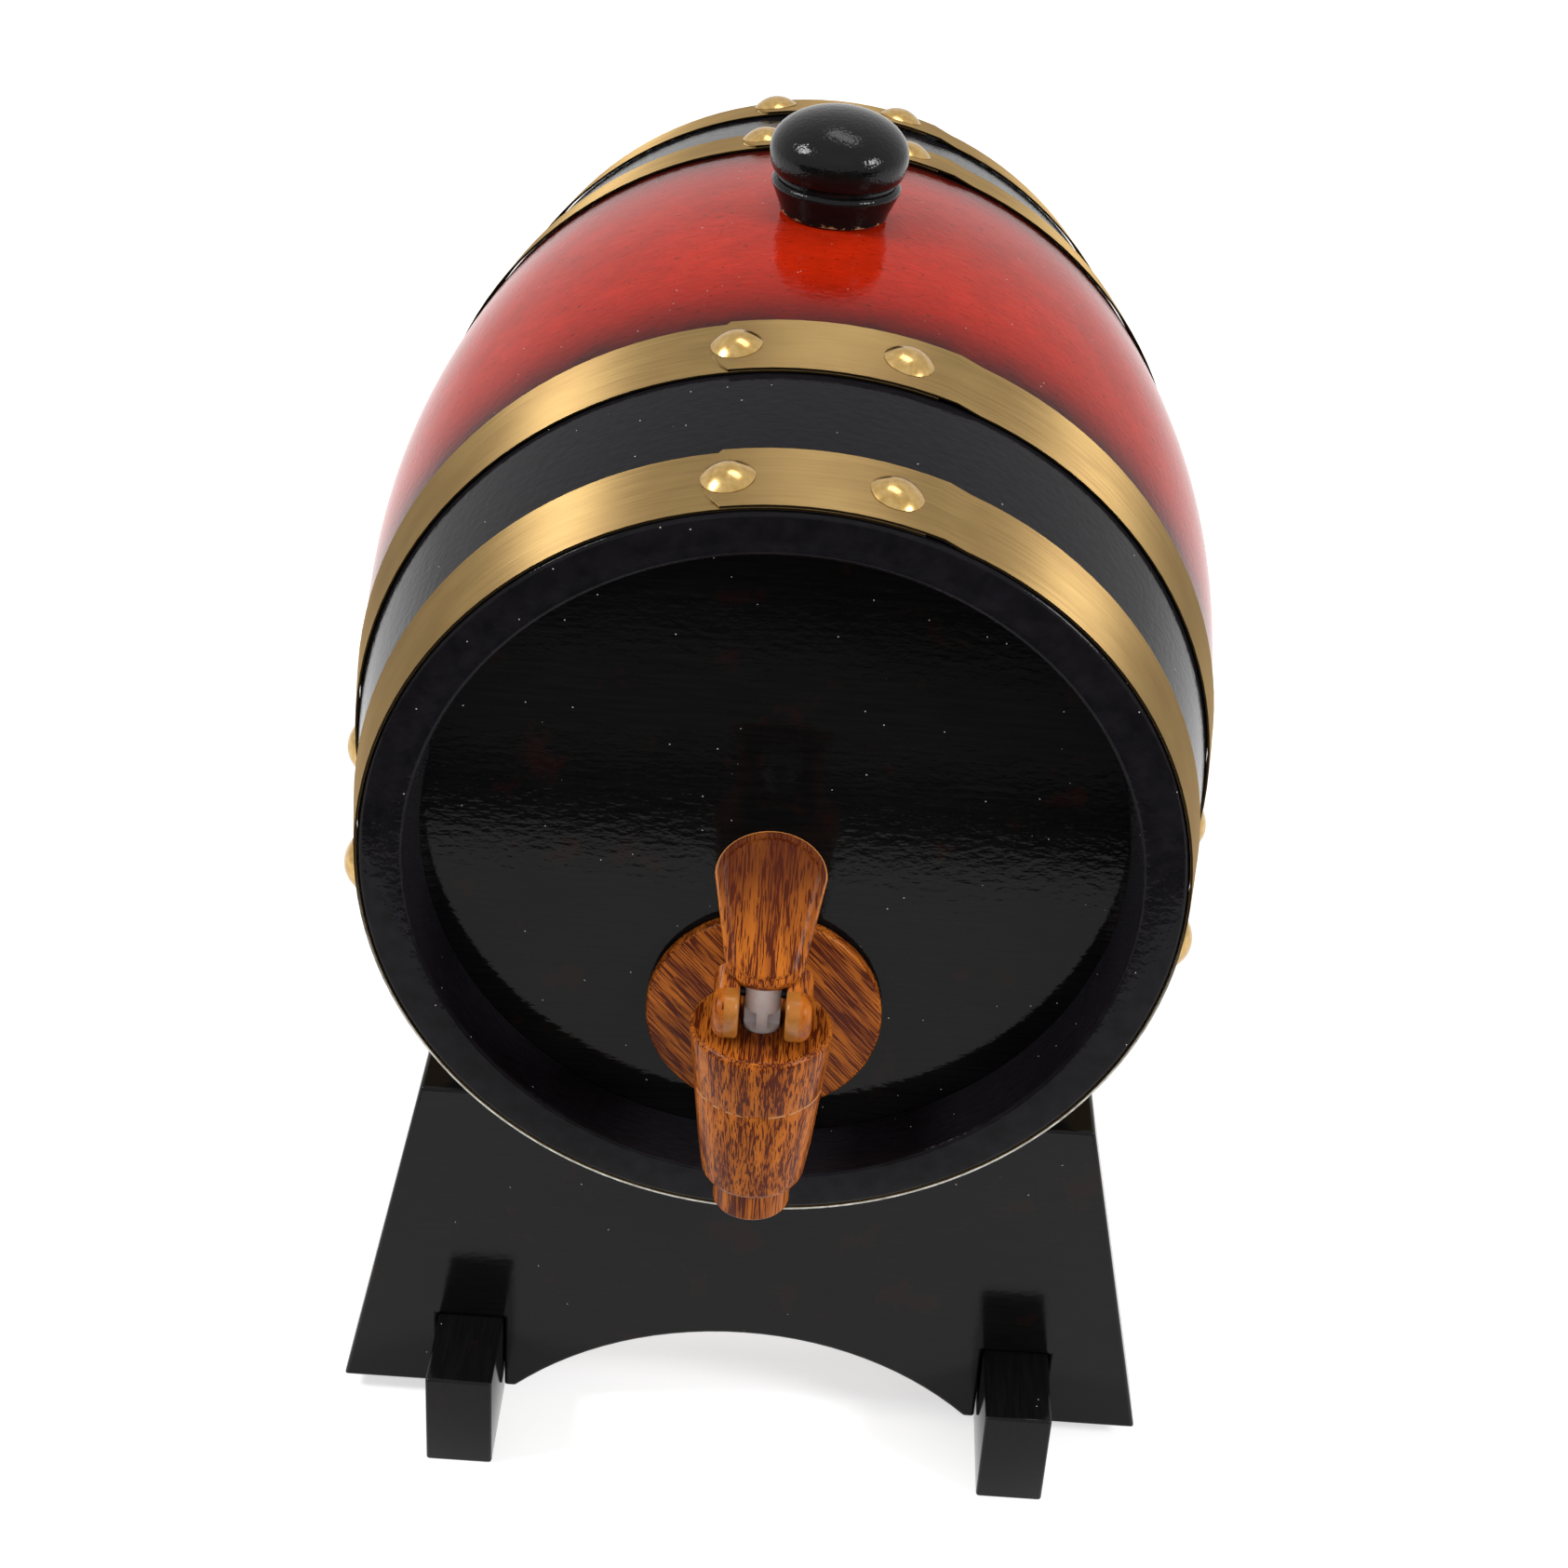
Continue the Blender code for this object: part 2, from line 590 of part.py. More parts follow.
def barrel_profile():
    """The outside of the valve barrel and spout, from the top down."""
    foot = BARREL_FOOT - BARREL_FOOT_ROUND
    rounding = arc(
        (BARREL_FOOT_RADIUS - BARREL_FOOT_ROUND, BARREL_FOOT), (BARREL_FOOT_ROUND, BARREL_FOOT_ROUND),
        0, -QUARTER_TURN, ROUND_STEPS,
    )
    return [
        (0, BARREL_TOP), (BARREL_TOP_RADIUS, BARREL_TOP), (BARREL_WAIST_RADIUS, BARREL_WAIST),
    ] + rounding + [
        (SPOUT_RADIUS, foot), (SPOUT_RADIUS, SPOUT_BOTTOM + SPOUT_LIP_ROUND),
        (SPOUT_RADIUS - SPOUT_LIP_ROUND, SPOUT_BOTTOM), (0, SPOUT_BOTTOM),
    ]


def chamber_profile():
    """The valve chamber, the seat's hole and the spout's bore, as one cutter."""
    seat_bottom = SEAT_HEIGHT - SEAT_THICKNESS
    return [
        (0, BARREL_TOP + OVERRUN), (CHAMBER_RADIUS, BARREL_TOP + OVERRUN),
        (CHAMBER_RADIUS, SEAT_HEIGHT), (SEAT_HOLE_RADIUS, SEAT_HEIGHT),
        (SEAT_HOLE_RADIUS, seat_bottom), (SPOUT_BORE_RADIUS, seat_bottom),
        (SPOUT_BORE_RADIUS, SPOUT_BOTTOM - OVERRUN), (0, SPOUT_BOTTOM - OVERRUN),
    ]


tap_body = place("tap_body", turned("tap_body", barrel_profile(), TAP_STEPS), WOODGRAIN_ABS, valve_axis)
shank = tool("tap_shank", turned("tap_shank", [
    (0, 0), (NECK_RADIUS, 0), (NECK_RADIUS, NECK_END), (SHANK_RADIUS, NECK_END),
    (SHANK_RADIUS, SHANK_END), (0, SHANK_END),
], TAP_STEPS), shank_axis)
chamber = tool("valve_chamber", turned("valve_chamber", chamber_profile(), TAP_STEPS), valve_axis)
shank_bore = tool(
    "shank_bore", rod("shank_bore", SHANK_BORE_RADIUS, 0, SHANK_END + OVERRUN, BUNG_STEPS), shank_axis,
)
combine(tap_body, shank, "UNION")
combine(tap_body, chamber, "DIFFERENCE")
combine(tap_body, shank_bore, "DIFFERENCE")


# Flange, gaskets and nut, all threaded on the shank

def ring_mesh(name, inner, outer, front, back, steps):
    """A plain washer between two depths."""
    return turned(name, [(outer, front), (outer, back), (inner, back), (inner, front)], steps, closed=True)


ring_bore = SHANK_RADIUS + GAP
recess_radius = GASKET_RADIUS + GAP
place("tap_flange", turned("tap_flange", [
    (ring_bore, 0), (FLANGE_RADIUS - FLANGE_EDGE_ROUND, 0), (FLANGE_RADIUS, FLANGE_EDGE_ROUND),
    (FLANGE_RADIUS, FLANGE_THICKNESS), (recess_radius, FLANGE_THICKNESS),
    (recess_radius, FLANGE_THICKNESS - OUTER_GASKET_RECESS),
    (ring_bore, FLANGE_THICKNESS - OUTER_GASKET_RECESS),
], FLANGE_STEPS, closed=True), WOODGRAIN_ABS, cask, (0, TAP_DROP, FLANGE_FRONT))
outer_gasket_front = FLANGE_FRONT + FLANGE_THICKNESS - OUTER_GASKET_RECESS + GAP
place("outer_gasket", ring_mesh(
    "outer_gasket", ring_bore, GASKET_RADIUS, outer_gasket_front, HEAD_RECESS - GAP, BUNG_STEPS,
), SILICONE, cask, (0, TAP_DROP, 0))
place("inner_gasket", ring_mesh(
    "inner_gasket", ring_bore, GASKET_RADIUS, INNER_GASKET_FRONT,
    INNER_GASKET_FRONT + INNER_GASKET_THICKNESS, BUNG_STEPS,
), SILICONE, cask, (0, TAP_DROP, 0))
nut_outline = arc((0, 0), (1, 1), 0, FULL_TURN, NUT_SIDES)[:-1]
nut_radius = NUT_ACROSS_FLATS / 2 / math.cos(FULL_TURN / NUT_SIDES / 2)
shank_nut = place("shank_nut", extruded(
    "shank_nut", [(nut_radius * x, nut_radius * y) for x, y in nut_outline], NUT_THICKNESS,
), BLACK_PLASTIC, cask, (0, TAP_DROP, NUT_FRONT + NUT_THICKNESS / 2))
nut_bore = tool("nut_bore", rod(
    "nut_bore", ring_bore, NUT_FRONT - OVERRUN, NUT_FRONT + NUT_THICKNESS + OVERRUN, BUNG_STEPS,
), cask, (0, TAP_DROP, 0))
combine(shank_nut, nut_bore, "DIFFERENCE")


# Bonnet
bonnet_bottom = BARREL_TOP + GAP
guide_radius = STEM_HEAD_RADIUS + GAP
bonnet_round = arc(
    (BONNET_RADIUS - BONNET_EDGE_ROUND, BONNET_TOP - BONNET_EDGE_ROUND),
    (BONNET_EDGE_ROUND, BONNET_EDGE_ROUND), 0, QUARTER_TURN, ROUND_STEPS,
)
place("tap_bonnet", turned("tap_bonnet", [(BARREL_TOP_RADIUS, bonnet_bottom)] + bonnet_round + [
    (guide_radius, BONNET_TOP),
    (guide_radius, SPRING_ROOM_TOP + SEAL_ROOM_HEIGHT),
    (SEAL_ROOM_RADIUS, SPRING_ROOM_TOP + SEAL_ROOM_HEIGHT),
    (SEAL_ROOM_RADIUS, SPRING_ROOM_TOP),
    (SPRING_ROOM_RADIUS, SPRING_ROOM_TOP),
    (SPRING_ROOM_RADIUS, BONNET_SKIRT_BOTTOM),
    (CHAMBER_RADIUS - GAP, BONNET_SKIRT_BOTTOM),
    (CHAMBER_RADIUS - GAP, bonnet_bottom),
], TAP_STEPS, closed=True), WOODGRAIN_ABS, valve_axis)


# Stem, washer, seal and spring
stem_top = PIN_LEVEL + STEM_HEAD_HEIGHT
window_bottom = BONNET_TOP + STEM_WINDOW_SILL
window_top = window_bottom + STEM_WINDOW_HEIGHT
valve_stem = place("valve_stem", turned("valve_stem", [
    (0, stem_top), (STEM_HEAD_RADIUS - STEM_HEAD_ROUND, stem_top),
    (STEM_HEAD_RADIUS, stem_top - STEM_HEAD_ROUND),
    (STEM_HEAD_RADIUS, SPRING_ROOM_TOP + SEAL_ROOM_HEIGHT + LEVER_LIFT / 4),
    (STEM_SHAFT_RADIUS, SPRING_ROOM_TOP + SEAL_ROOM_HEIGHT),
    (STEM_SHAFT_RADIUS, COLLAR_TOP), (STEM_COLLAR_RADIUS, COLLAR_TOP),
    (STEM_COLLAR_RADIUS, COLLAR_BOTTOM), (STEM_SPIGOT_RADIUS, COLLAR_BOTTOM),
    (STEM_SPIGOT_RADIUS, BARB_TOP), (STEM_BARB_RADIUS, BARB_TOP),
    (STEM_SPIGOT_RADIUS, BARB_TOP - STEM_BARB_LENGTH), (0, BARB_TOP - STEM_BARB_LENGTH),
], STEM_STEPS), WHITE_ACETAL, valve_axis)
notch_width = STEM_HEAD_RADIUS + OVERRUN - STEM_RIB_WIDTH / 2
notch_centre = STEM_RIB_WIDTH / 2 + notch_width / 2
notch_outline = [(-notch_width / 2, -notch_width / 2), (notch_width / 2, -notch_width / 2),
                 (notch_width / 2, notch_width / 2), (-notch_width / 2, notch_width / 2)]
notch_mesh = extruded("stem_notch", notch_outline, STEM_WINDOW_HEIGHT)
for side in (-1, 1):
    for end in (-1, 1):
        notch = tool(
            f"stem_notch_{side}_{end}", notch_mesh, valve_axis,
            (side * notch_centre, end * notch_centre, (window_bottom + window_top) / 2),
        )
        combine(valve_stem, notch, "DIFFERENCE")
place("seat_washer", ring_mesh(
    "seat_washer", STEM_SPIGOT_RADIUS + GAP, WASHER_RADIUS, WASHER_BOTTOM,
    WASHER_BOTTOM + WASHER_THICKNESS, STEM_STEPS,
), SILICONE, valve_axis)
seal_centre = (
    (STEM_SHAFT_RADIUS + SEAL_ROOM_RADIUS) / 2, SPRING_ROOM_TOP + SEAL_ROOM_HEIGHT / 2,
)
seal_section = arc(
    seal_centre, (SEAL_WIRE_RADIUS, SEAL_WIRE_RADIUS), 0, FULL_TURN, SEAL_WIRE_STEPS,
)
place(
    "stem_seal", turned("stem_seal", seal_section[:-1], STEM_STEPS, closed=True), SILICONE, valve_axis,
)

spring_bottom = COLLAR_TOP + GAP + SPRING_WIRE_RADIUS
spring_top = SPRING_ROOM_TOP - GAP - SPRING_WIRE_RADIUS
spring_curve = bpy.data.curves.new("valve_spring", "CURVE")
spring_curve.dimensions = "3D"
spring_curve.bevel_depth = SPRING_WIRE_RADIUS
spring_curve.bevel_resolution = 1
spring_curve.use_fill_caps = True
coil = spring_curve.splines.new("POLY")
coil_points = SPRING_TURNS * SPRING_POINTS_PER_TURN
coil.points.add(coil_points)
for number, point in enumerate(coil.points):
    angle = FULL_TURN * number / SPRING_POINTS_PER_TURN
    height = spring_bottom + (spring_top - spring_bottom) * number / coil_points
    point.co = (SPRING_RADIUS * math.cos(angle), SPRING_RADIUS * math.sin(angle), height, 1)
place("valve_spring", spring_curve, STEEL, valve_axis)


# Lever, in the frame of its pin: +X across, -Y towards the user, +Z up

def cheek_outline():
    """Side view (forward, up) of a cheek. Its cam is the involute that lifts the stem evenly."""
    points = [(-CHEEK_HEEL, CHEEK_CORNER - CAM_BASE), (CHEEK_CORNER - CHEEK_HEEL, -CAM_BASE)]
    for step in range(CAM_STEPS + 1):
        turn = LEVER_SWING * step / CAM_STEPS
        reach = CAM_BASE + CAM_GROWTH * turn
        points.append((
            reach * math.sin(turn) + CAM_GROWTH * math.cos(turn),
            CAM_GROWTH * math.sin(turn) - reach * math.cos(turn),
        ))
    nose_forward, nose_up = points[-1]
    lip_forward, lip_up = paddle_point(0, PADDLE_STAND_OFF - PADDLE_EDGE_ROUND)
    points += arc(
        (lip_forward, nose_up), (nose_forward - lip_forward, lip_up - nose_up),
        0, QUARTER_TURN, BROW_STEPS,
    )[1:]
    return points + [paddle_point(CHEEK_WEB, PADDLE_MIDDLE), (-CHEEK_HEEL, 0)]


def paddle_point(along, out):
    """Side view point at a length up the paddle from its lip and a distance out from the pin."""
    rise = along - PADDLE_LIP_DROP
    forward = out * math.sin(PADDLE_TILT) - rise * math.cos(PADDLE_TILT)
    up = out * math.cos(PADDLE_TILT) + rise * math.sin(PADDLE_TILT)
    return (forward, up)


def paddle_outline():
    """Front view of the paddle (across, along) from its lip, at zero, to its top."""
    lip = arc((0, PADDLE_LIP_ARC), (PADDLE_LIP_WIDTH / 2, PADDLE_LIP_ARC),
              2 * QUARTER_TURN, 4 * QUARTER_TURN, PADDLE_ARC_STEPS)
    top = arc((0, PADDLE_LENGTH - PADDLE_TOP_ARC), (PADDLE_TOP_WIDTH / 2, PADDLE_TOP_ARC),
              0, 2 * QUARTER_TURN, PADDLE_ARC_STEPS)
    return lip + top


paddle_forward, paddle_up = paddle_point(0, PADDLE_MIDDLE)
lever = place("tap_lever", extruded(
    "tap_lever", paddle_outline(), PADDLE_THICKNESS, (PADDLE_RIM_WIDTH, PADDLE_DISH),
), WOODGRAIN_ABS, lever_axis, (0, -paddle_forward, paddle_up), (PADDLE_TILT, 0, 0))
round_edges(lever, PADDLE_EDGE_ROUND)
cheek_mesh = extruded("lever_cheek", cheek_outline(), CHEEK_THICKNESS)
for side_name, side in (("left", -1), ("right", 1)):
    offset = side * (CHEEK_GAP + CHEEK_THICKNESS) / 2
    cheek = tool(f"lever_cheek_{side_name}", cheek_mesh, lever_axis)
    # The outline's first axis points forward, its second up and its thickness across.
    cheek.matrix_local = Matrix(((0, 0, 1, offset), (-1, 0, 0, 0), (0, 1, 0, 0), (0, 0, 0, 1)))
    round_edges(cheek, CHEEK_EDGE_ROUND)
    combine(lever, cheek, "UNION")
pin_length = LEVER_WIDTH - 2 * PIN_INSET
pin_hole = tool(
    "pin_hole",
    rod("pin_hole", PIN_RADIUS + GAP, -LEVER_WIDTH / 2 - OVERRUN, LEVER_WIDTH / 2 + OVERRUN, SCREW_STEPS),
    lever_axis, (0, 0, 0), (0, QUARTER_TURN, 0),
)
combine(lever, pin_hole, "DIFFERENCE")
combine(valve_stem, pin_hole, "DIFFERENCE")
place(
    "lever_pin", rod("lever_pin", PIN_RADIUS, -pin_length / 2, pin_length / 2, SCREW_STEPS),
    BLACK_STEEL, lever_axis, (0, 0, 0), (0, QUARTER_TURN, 0),
)


# Stand

def panel_outline():
    """Front view of a cradle panel (across, up), anticlockwise from its left foot."""
    back_depth = PANEL_INSET + PANEL_THICKNESS
    cradle_radius = cask_radius(back_depth) + GAP
    cradle_half = math.acos((CASK_AXIS_HEIGHT - PANEL_SHOULDER_HEIGHT) / cradle_radius)
    cradle = arc(
        (0, CASK_AXIS_HEIGHT), (cradle_radius, cradle_radius),
        cradle_half - QUARTER_TURN, -cradle_half - QUARTER_TURN, CRADLE_STEPS,
    )
    foot = PANEL_FOOT_CLEARANCE
    slot_inner = (BAR_SPACING - BAR_WIDTH) / 2 - GAP
    slot_outer = (BAR_SPACING + BAR_WIDTH) / 2 + GAP
    slot_top = BAR_HEIGHT + GAP
    arch_half = slot_inner - ARCH_LAND
    arch_radius = (arch_half ** 2 + ARCH_RISE ** 2) / (2 * ARCH_RISE)
    arch_angle = math.asin(arch_half / arch_radius)
    arch = arc(
        (0, foot + ARCH_RISE - arch_radius), (arch_radius, arch_radius),
        QUARTER_TURN + arch_angle, QUARTER_TURN - arch_angle, ARCH_STEPS,
    )
    right_slot = [(slot_inner, foot), (slot_inner, slot_top), (slot_outer, slot_top), (slot_outer, foot)]
    left_slot = [(-x, z) for x, z in reversed(right_slot)]
    right_side = [
        (PANEL_FOOT_WIDTH / 2, foot), (PANEL_SHOULDER_WIDTH / 2, PANEL_SHOULDER_HEIGHT),
    ]
    left_side = [(-x, z) for x, z in reversed(right_side)]
    return left_slot + arch + right_slot + right_side + cradle + left_side


def screw_profile():
    """A countersunk screw, its flat head down at height zero."""
    point = SCREW_HEAD_HEIGHT / 2
    end = BAR_HEIGHT - SCREW_SUNK + SCREW_BITE
    return [
        (0, end), (SCREW_SHANK_RADIUS, end - point), (SCREW_SHANK_RADIUS, SCREW_HEAD_HEIGHT),
        (SCREW_HEAD_RADIUS, 0), (0, 0),
    ]


def screw_bore_profile():
    """The hole for a stand screw, wider all round than the screw and open downwards."""
    end = BAR_HEIGHT - SCREW_SUNK + SCREW_BITE + GAP
    shank = SCREW_SHANK_RADIUS + GAP
    head = SCREW_HEAD_RADIUS + GAP
    return [
        (0, end), (shank, end), (shank, SCREW_HEAD_HEIGHT + GAP), (head, GAP),
        (head, -OVERRUN), (0, -OVERRUN),
    ]


panel_mesh = extruded("stand_panel", panel_outline(), PANEL_THICKNESS)
panel_middles = {
    "front": CASK_FRONT + PANEL_INSET + PANEL_THICKNESS / 2,
    "rear": CASK_FRONT + CASK_LENGTH - PANEL_INSET - PANEL_THICKNESS / 2,
}
panels = {}
for end_name, middle in panel_middles.items():
    panels[end_name] = place(
        f"{end_name}_stand_panel", panel_mesh, BLACK_LACQUER, None, (0, middle, 0), (QUARTER_TURN, 0, 0),
    )
    round_edges(panels[end_name], STAND_EDGE_ROUND)
bar_outline = [
    (-BAR_WIDTH / 2, 0), (BAR_WIDTH / 2, 0), (BAR_WIDTH / 2, BAR_HEIGHT), (-BAR_WIDTH / 2, BAR_HEIGHT),
]
bar_mesh = extruded("stand_bar", bar_outline, CASK_LENGTH)
screw_mesh = turned("stand_screw", screw_profile(), SCREW_STEPS)
screw_bore_mesh = turned("screw_bore", screw_bore_profile(), SCREW_STEPS)
for side_name, side in (("left", -1), ("right", 1)):
    across = side * BAR_SPACING / 2
    bar = place(
        f"{side_name}_stand_bar", bar_mesh, BLACK_LACQUER, None,
        (across, CASK_FRONT + CASK_LENGTH / 2, 0), (QUARTER_TURN, 0, 0),
    )
    round_edges(bar, STAND_EDGE_ROUND)
    for end_name, middle in panel_middles.items():
        spot = (across, middle, SCREW_SUNK)
        place(f"stand_screw_{end_name}_{side_name}", screw_mesh, STEEL, None, spot)
        screw_bore = tool(f"screw_bore_{end_name}_{side_name}", screw_bore_mesh, None, spot)
        combine(bar, screw_bore, "DIFFERENCE")
        combine(panels[end_name], screw_bore, "DIFFERENCE")

bpy.context.view_layer.update()
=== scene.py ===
# %% [markdown]
# An oak cask with a lever tap, lying on a small black stand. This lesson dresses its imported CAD
# model. The CAD gives every piece its place and size, in metres, so each new piece here is drawn
# straight at its place. X is to the right, Y goes back along the cask and Z is up.

# %% The frame
import json
import math

import bmesh
import bpy
from mathutils import Matrix, Vector

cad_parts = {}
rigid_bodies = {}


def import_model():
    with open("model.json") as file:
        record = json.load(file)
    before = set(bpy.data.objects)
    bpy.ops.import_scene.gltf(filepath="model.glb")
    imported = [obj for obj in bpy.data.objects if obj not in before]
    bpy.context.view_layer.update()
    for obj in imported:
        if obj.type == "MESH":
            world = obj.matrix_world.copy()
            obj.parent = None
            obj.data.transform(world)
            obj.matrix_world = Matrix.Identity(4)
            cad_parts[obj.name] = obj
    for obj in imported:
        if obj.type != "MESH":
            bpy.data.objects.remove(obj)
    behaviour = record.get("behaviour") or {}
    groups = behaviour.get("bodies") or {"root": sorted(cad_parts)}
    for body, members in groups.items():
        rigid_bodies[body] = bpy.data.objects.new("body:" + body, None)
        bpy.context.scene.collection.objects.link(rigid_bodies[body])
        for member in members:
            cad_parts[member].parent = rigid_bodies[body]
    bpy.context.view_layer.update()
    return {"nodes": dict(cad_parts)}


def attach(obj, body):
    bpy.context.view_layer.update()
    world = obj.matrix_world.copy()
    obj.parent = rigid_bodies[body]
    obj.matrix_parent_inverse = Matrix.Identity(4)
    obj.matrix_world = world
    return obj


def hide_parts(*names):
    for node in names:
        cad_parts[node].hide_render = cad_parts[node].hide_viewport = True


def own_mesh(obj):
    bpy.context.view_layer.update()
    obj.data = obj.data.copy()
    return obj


bpy.ops.object.select_all(action="SELECT")
bpy.ops.object.delete()
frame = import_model()
nodes = frame["nodes"]
MM = 0.001
FULL_TURN = math.radians(360)
HALF_TURN = math.radians(180)
QUARTER_TURN = math.radians(90)
print("CAD nodes:", len(nodes))

# %% [markdown]
# Everything round on this object was turned on a lathe or bent round a former. In Blender that is
# a drawn half section, spun a full turn. The section could be typed in as a mesh, but here it is
# extruded point by point as one does by hand, so each corner can be read as a radius and a height.

# %% Drawing a section and spinning it
MERGE = 0.001 * MM
SMOOTH_ANGLE = math.radians(32)


def pick(*chosen):
    """Select only these objects. The first becomes the active one."""
    bpy.ops.object.select_all(action="DESELECT")
    for piece in chosen:
        piece.select_set(True)
    bpy.context.view_layer.objects.active = chosen[0]


def draw(name, points, closed=False):
    """A line through the points, extruded corner by corner. It stays in edit mode, all selected."""
    bpy.ops.object.select_all(action="DESELECT")
    bpy.ops.mesh.primitive_plane_add(size=1, location=(0, 0, 0))
    piece = bpy.context.object
    piece.name = name
    bpy.ops.object.mode_set(mode="EDIT")
    bpy.ops.mesh.merge(type="CENTER")
    bpy.ops.transform.translate(value=points[0])
    for start, end in zip(points, points[1:]):
        step = [after - before for before, after in zip(start, end)]
        bpy.ops.mesh.extrude_vertices_move(TRANSFORM_OT_translate={"value": step})
    bpy.ops.mesh.select_all(action="SELECT")
    if closed:
        bpy.ops.mesh.edge_face_add()
    return piece


def volume(piece):
    """The volume inside a closed mesh, which is negative where its faces point inwards."""
    shape = bmesh.new()
    shape.from_mesh(piece.data)
    inside = shape.calc_volume(signed=True)
    shape.free()
    return inside


def close_up(piece):
    """Merge doubles, turn the faces outwards and leave edit mode with smooth shading."""
    bpy.ops.mesh.select_all(action="SELECT")
    bpy.ops.mesh.remove_doubles(threshold=MERGE)
    bpy.ops.mesh.normals_make_consistent(inside=False)
    bpy.ops.object.mode_set(mode="OBJECT")
    if volume(piece) < 0:
        bpy.ops.object.mode_set(mode="EDIT")
        bpy.ops.mesh.flip_normals()
        bpy.ops.object.mode_set(mode="OBJECT")
    pick(piece)
    bpy.ops.object.shade_smooth_by_angle(angle=SMOOTH_ANGLE)
    return piece


def arc(centre, radii, start, end, steps):
    """Points on an ellipse between two angles, as (first axis, second axis)."""
    turns = [start + (end - start) * step / steps for step in range(steps + 1)]
    return [(centre[0] + radii[0] * math.cos(t), centre[1] + radii[1] * math.sin(t)) for t in turns]


def spin_upright(name, section, foot, steps):
    """Spin a section of (radius, height) about an upright axis through foot."""
    x, y, z = foot
    piece = draw(name, [(x + radius, y, z + height) for radius, height in section])
    bpy.ops.mesh.spin(steps=steps, angle=FULL_TURN, center=foot, axis=(0, 0, 1))
    return close_up(piece)


def spin_level(name, section, start, steps):
    """Spin a section of (radius, depth) about a level axis that runs back from start."""
    x, y, z = start
    piece = draw(name, [(x, y + depth, z + radius) for radius, depth in section])
    bpy.ops.mesh.spin(steps=steps, angle=FULL_TURN, center=start, axis=(0, 1, 0))
    return close_up(piece)


def ring(section):
    """A section that ends where it starts, so its spin is a closed ring."""
    return section + section[:1]


print("arc test:", arc((0, 0), (1, 1), 0, HALF_TURN, 2)[1])

# %% [markdown]
# Pieces are cut and joined with Boolean modifiers, and edges are softened by hand with a bevel.
# Each modifier is applied at once, because the export wants plain meshes, and the tool that made
# the cut is deleted. Soft edges matter: no real edge is sharp, and its highlight shows its size.

# %% Cutting, joining and softening
DRILL_LENGTH = 40 * MM


def combine(piece, tool, operation):
    """Apply a Boolean with a tool piece, delete the tool and merge the cut's doubles."""
    pick(piece)
    change = piece.modifiers.new("change", "BOOLEAN")
    change.operation = operation
    change.object = tool
    change.solver = "EXACT"
    bpy.ops.object.modifier_apply(modifier=change.name)
    pick(tool)
    bpy.ops.object.delete()
    pick(piece)
    bpy.ops.object.mode_set(mode="EDIT")
    bpy.ops.mesh.select_all(action="SELECT")
    bpy.ops.mesh.remove_doubles(threshold=5 * MERGE)
    bpy.ops.object.mode_set(mode="OBJECT")
    bpy.ops.object.shade_smooth_by_angle(angle=SMOOTH_ANGLE)


def soften(piece, width, degrees=40, segments=3):
    """Bevel every edge sharper than an angle."""
    pick(piece)
    edge = piece.modifiers.new("edge", "BEVEL")
    edge.width = width
    edge.segments = segments
    edge.limit_method = "ANGLE"
    edge.angle_limit = math.radians(degrees)
    edge.harden_normals = False
    bpy.ops.object.modifier_apply(modifier=edge.name)
    bpy.ops.object.shade_smooth_by_angle(angle=SMOOTH_ANGLE)


def push(piece, way):
    """Extrude the face that has just been drawn, to give it thickness."""
    bpy.ops.mesh.extrude_region_move(TRANSFORM_OT_translate={"value": way})
    return close_up(piece)


def set_in_place(piece, matrix):
    """Move a piece by a matrix and leave its object at the origin."""
    pick(piece)
    piece.matrix_world = matrix
    bpy.ops.object.transform_apply(location=True, rotation=True, scale=True)
    return piece


def faces_of(piece):
    return len(piece.data.polygons)


# %% [markdown]
# The cask is twelve oak staves, bent over their middles and drawn together by the hoops. Under the
# lacquer no seam shows, so one smooth shell stands for all twelve. Its section follows the same
# curve as the CAD: steep near the middle and nearly straight towards the ends, as bent staves are.

# %% Sizes of the cask
CASK_LENGTH = 221.4 * MM
CASK_FRONT = Vector((0, -92.85 * MM, 153.8 * MM))
CASK_ROLL = math.radians(2)
BELLY_RADIUS = 90.6 * MM
RIM_RADIUS = 77.2 * MM
BEND_SHARE = 0.45
STAVE_THICKNESS = 12 * MM
CHIME_RADIUS = 68.8 * MM
CHIME_DRAFT = 1.3 * MM
RIM_SOFT = 0.8 * MM
GROOVE_FRONT = 12.6 * MM
GROOVE_BACK = 18.2 * MM
GROOVE_RADIUS = 71.6 * MM
BUNG_DEPTH = CASK_LENGTH / 2 + 2 * MM
BUNG_HOLE_RADIUS = 9.6 * MM
BUNG_HOLE_STEPS = 64


def bend(share):
    """How far the stave has dropped at a share of the way from the middle to the rim."""
    return math.sqrt(1 + (share / BEND_SHARE) ** 2) - 1


def cask_radius(depth):
    drop = bend(abs(2 * depth / CASK_LENGTH - 1)) / bend(1)
    return BELLY_RADIUS - (BELLY_RADIUS - RIM_RADIUS) * drop


def around(angle, radius, depth):
    """A point on the cask: angle clockwise from its own top, seen from the front."""
    turn = angle + CASK_ROLL
    return CASK_FRONT + Vector((radius * math.sin(turn), depth, radius * math.cos(turn)))


def frame_on(spot, outward):
    """A matrix that stands a piece drawn upright at the origin on a spot, along outward."""
    return Matrix.Translation(spot) @ outward.to_track_quat("Z", "Y").to_matrix().to_4x4()


print("radius at the quarter hoop, mm:", round(cask_radius(52 * MM) / MM, 2))

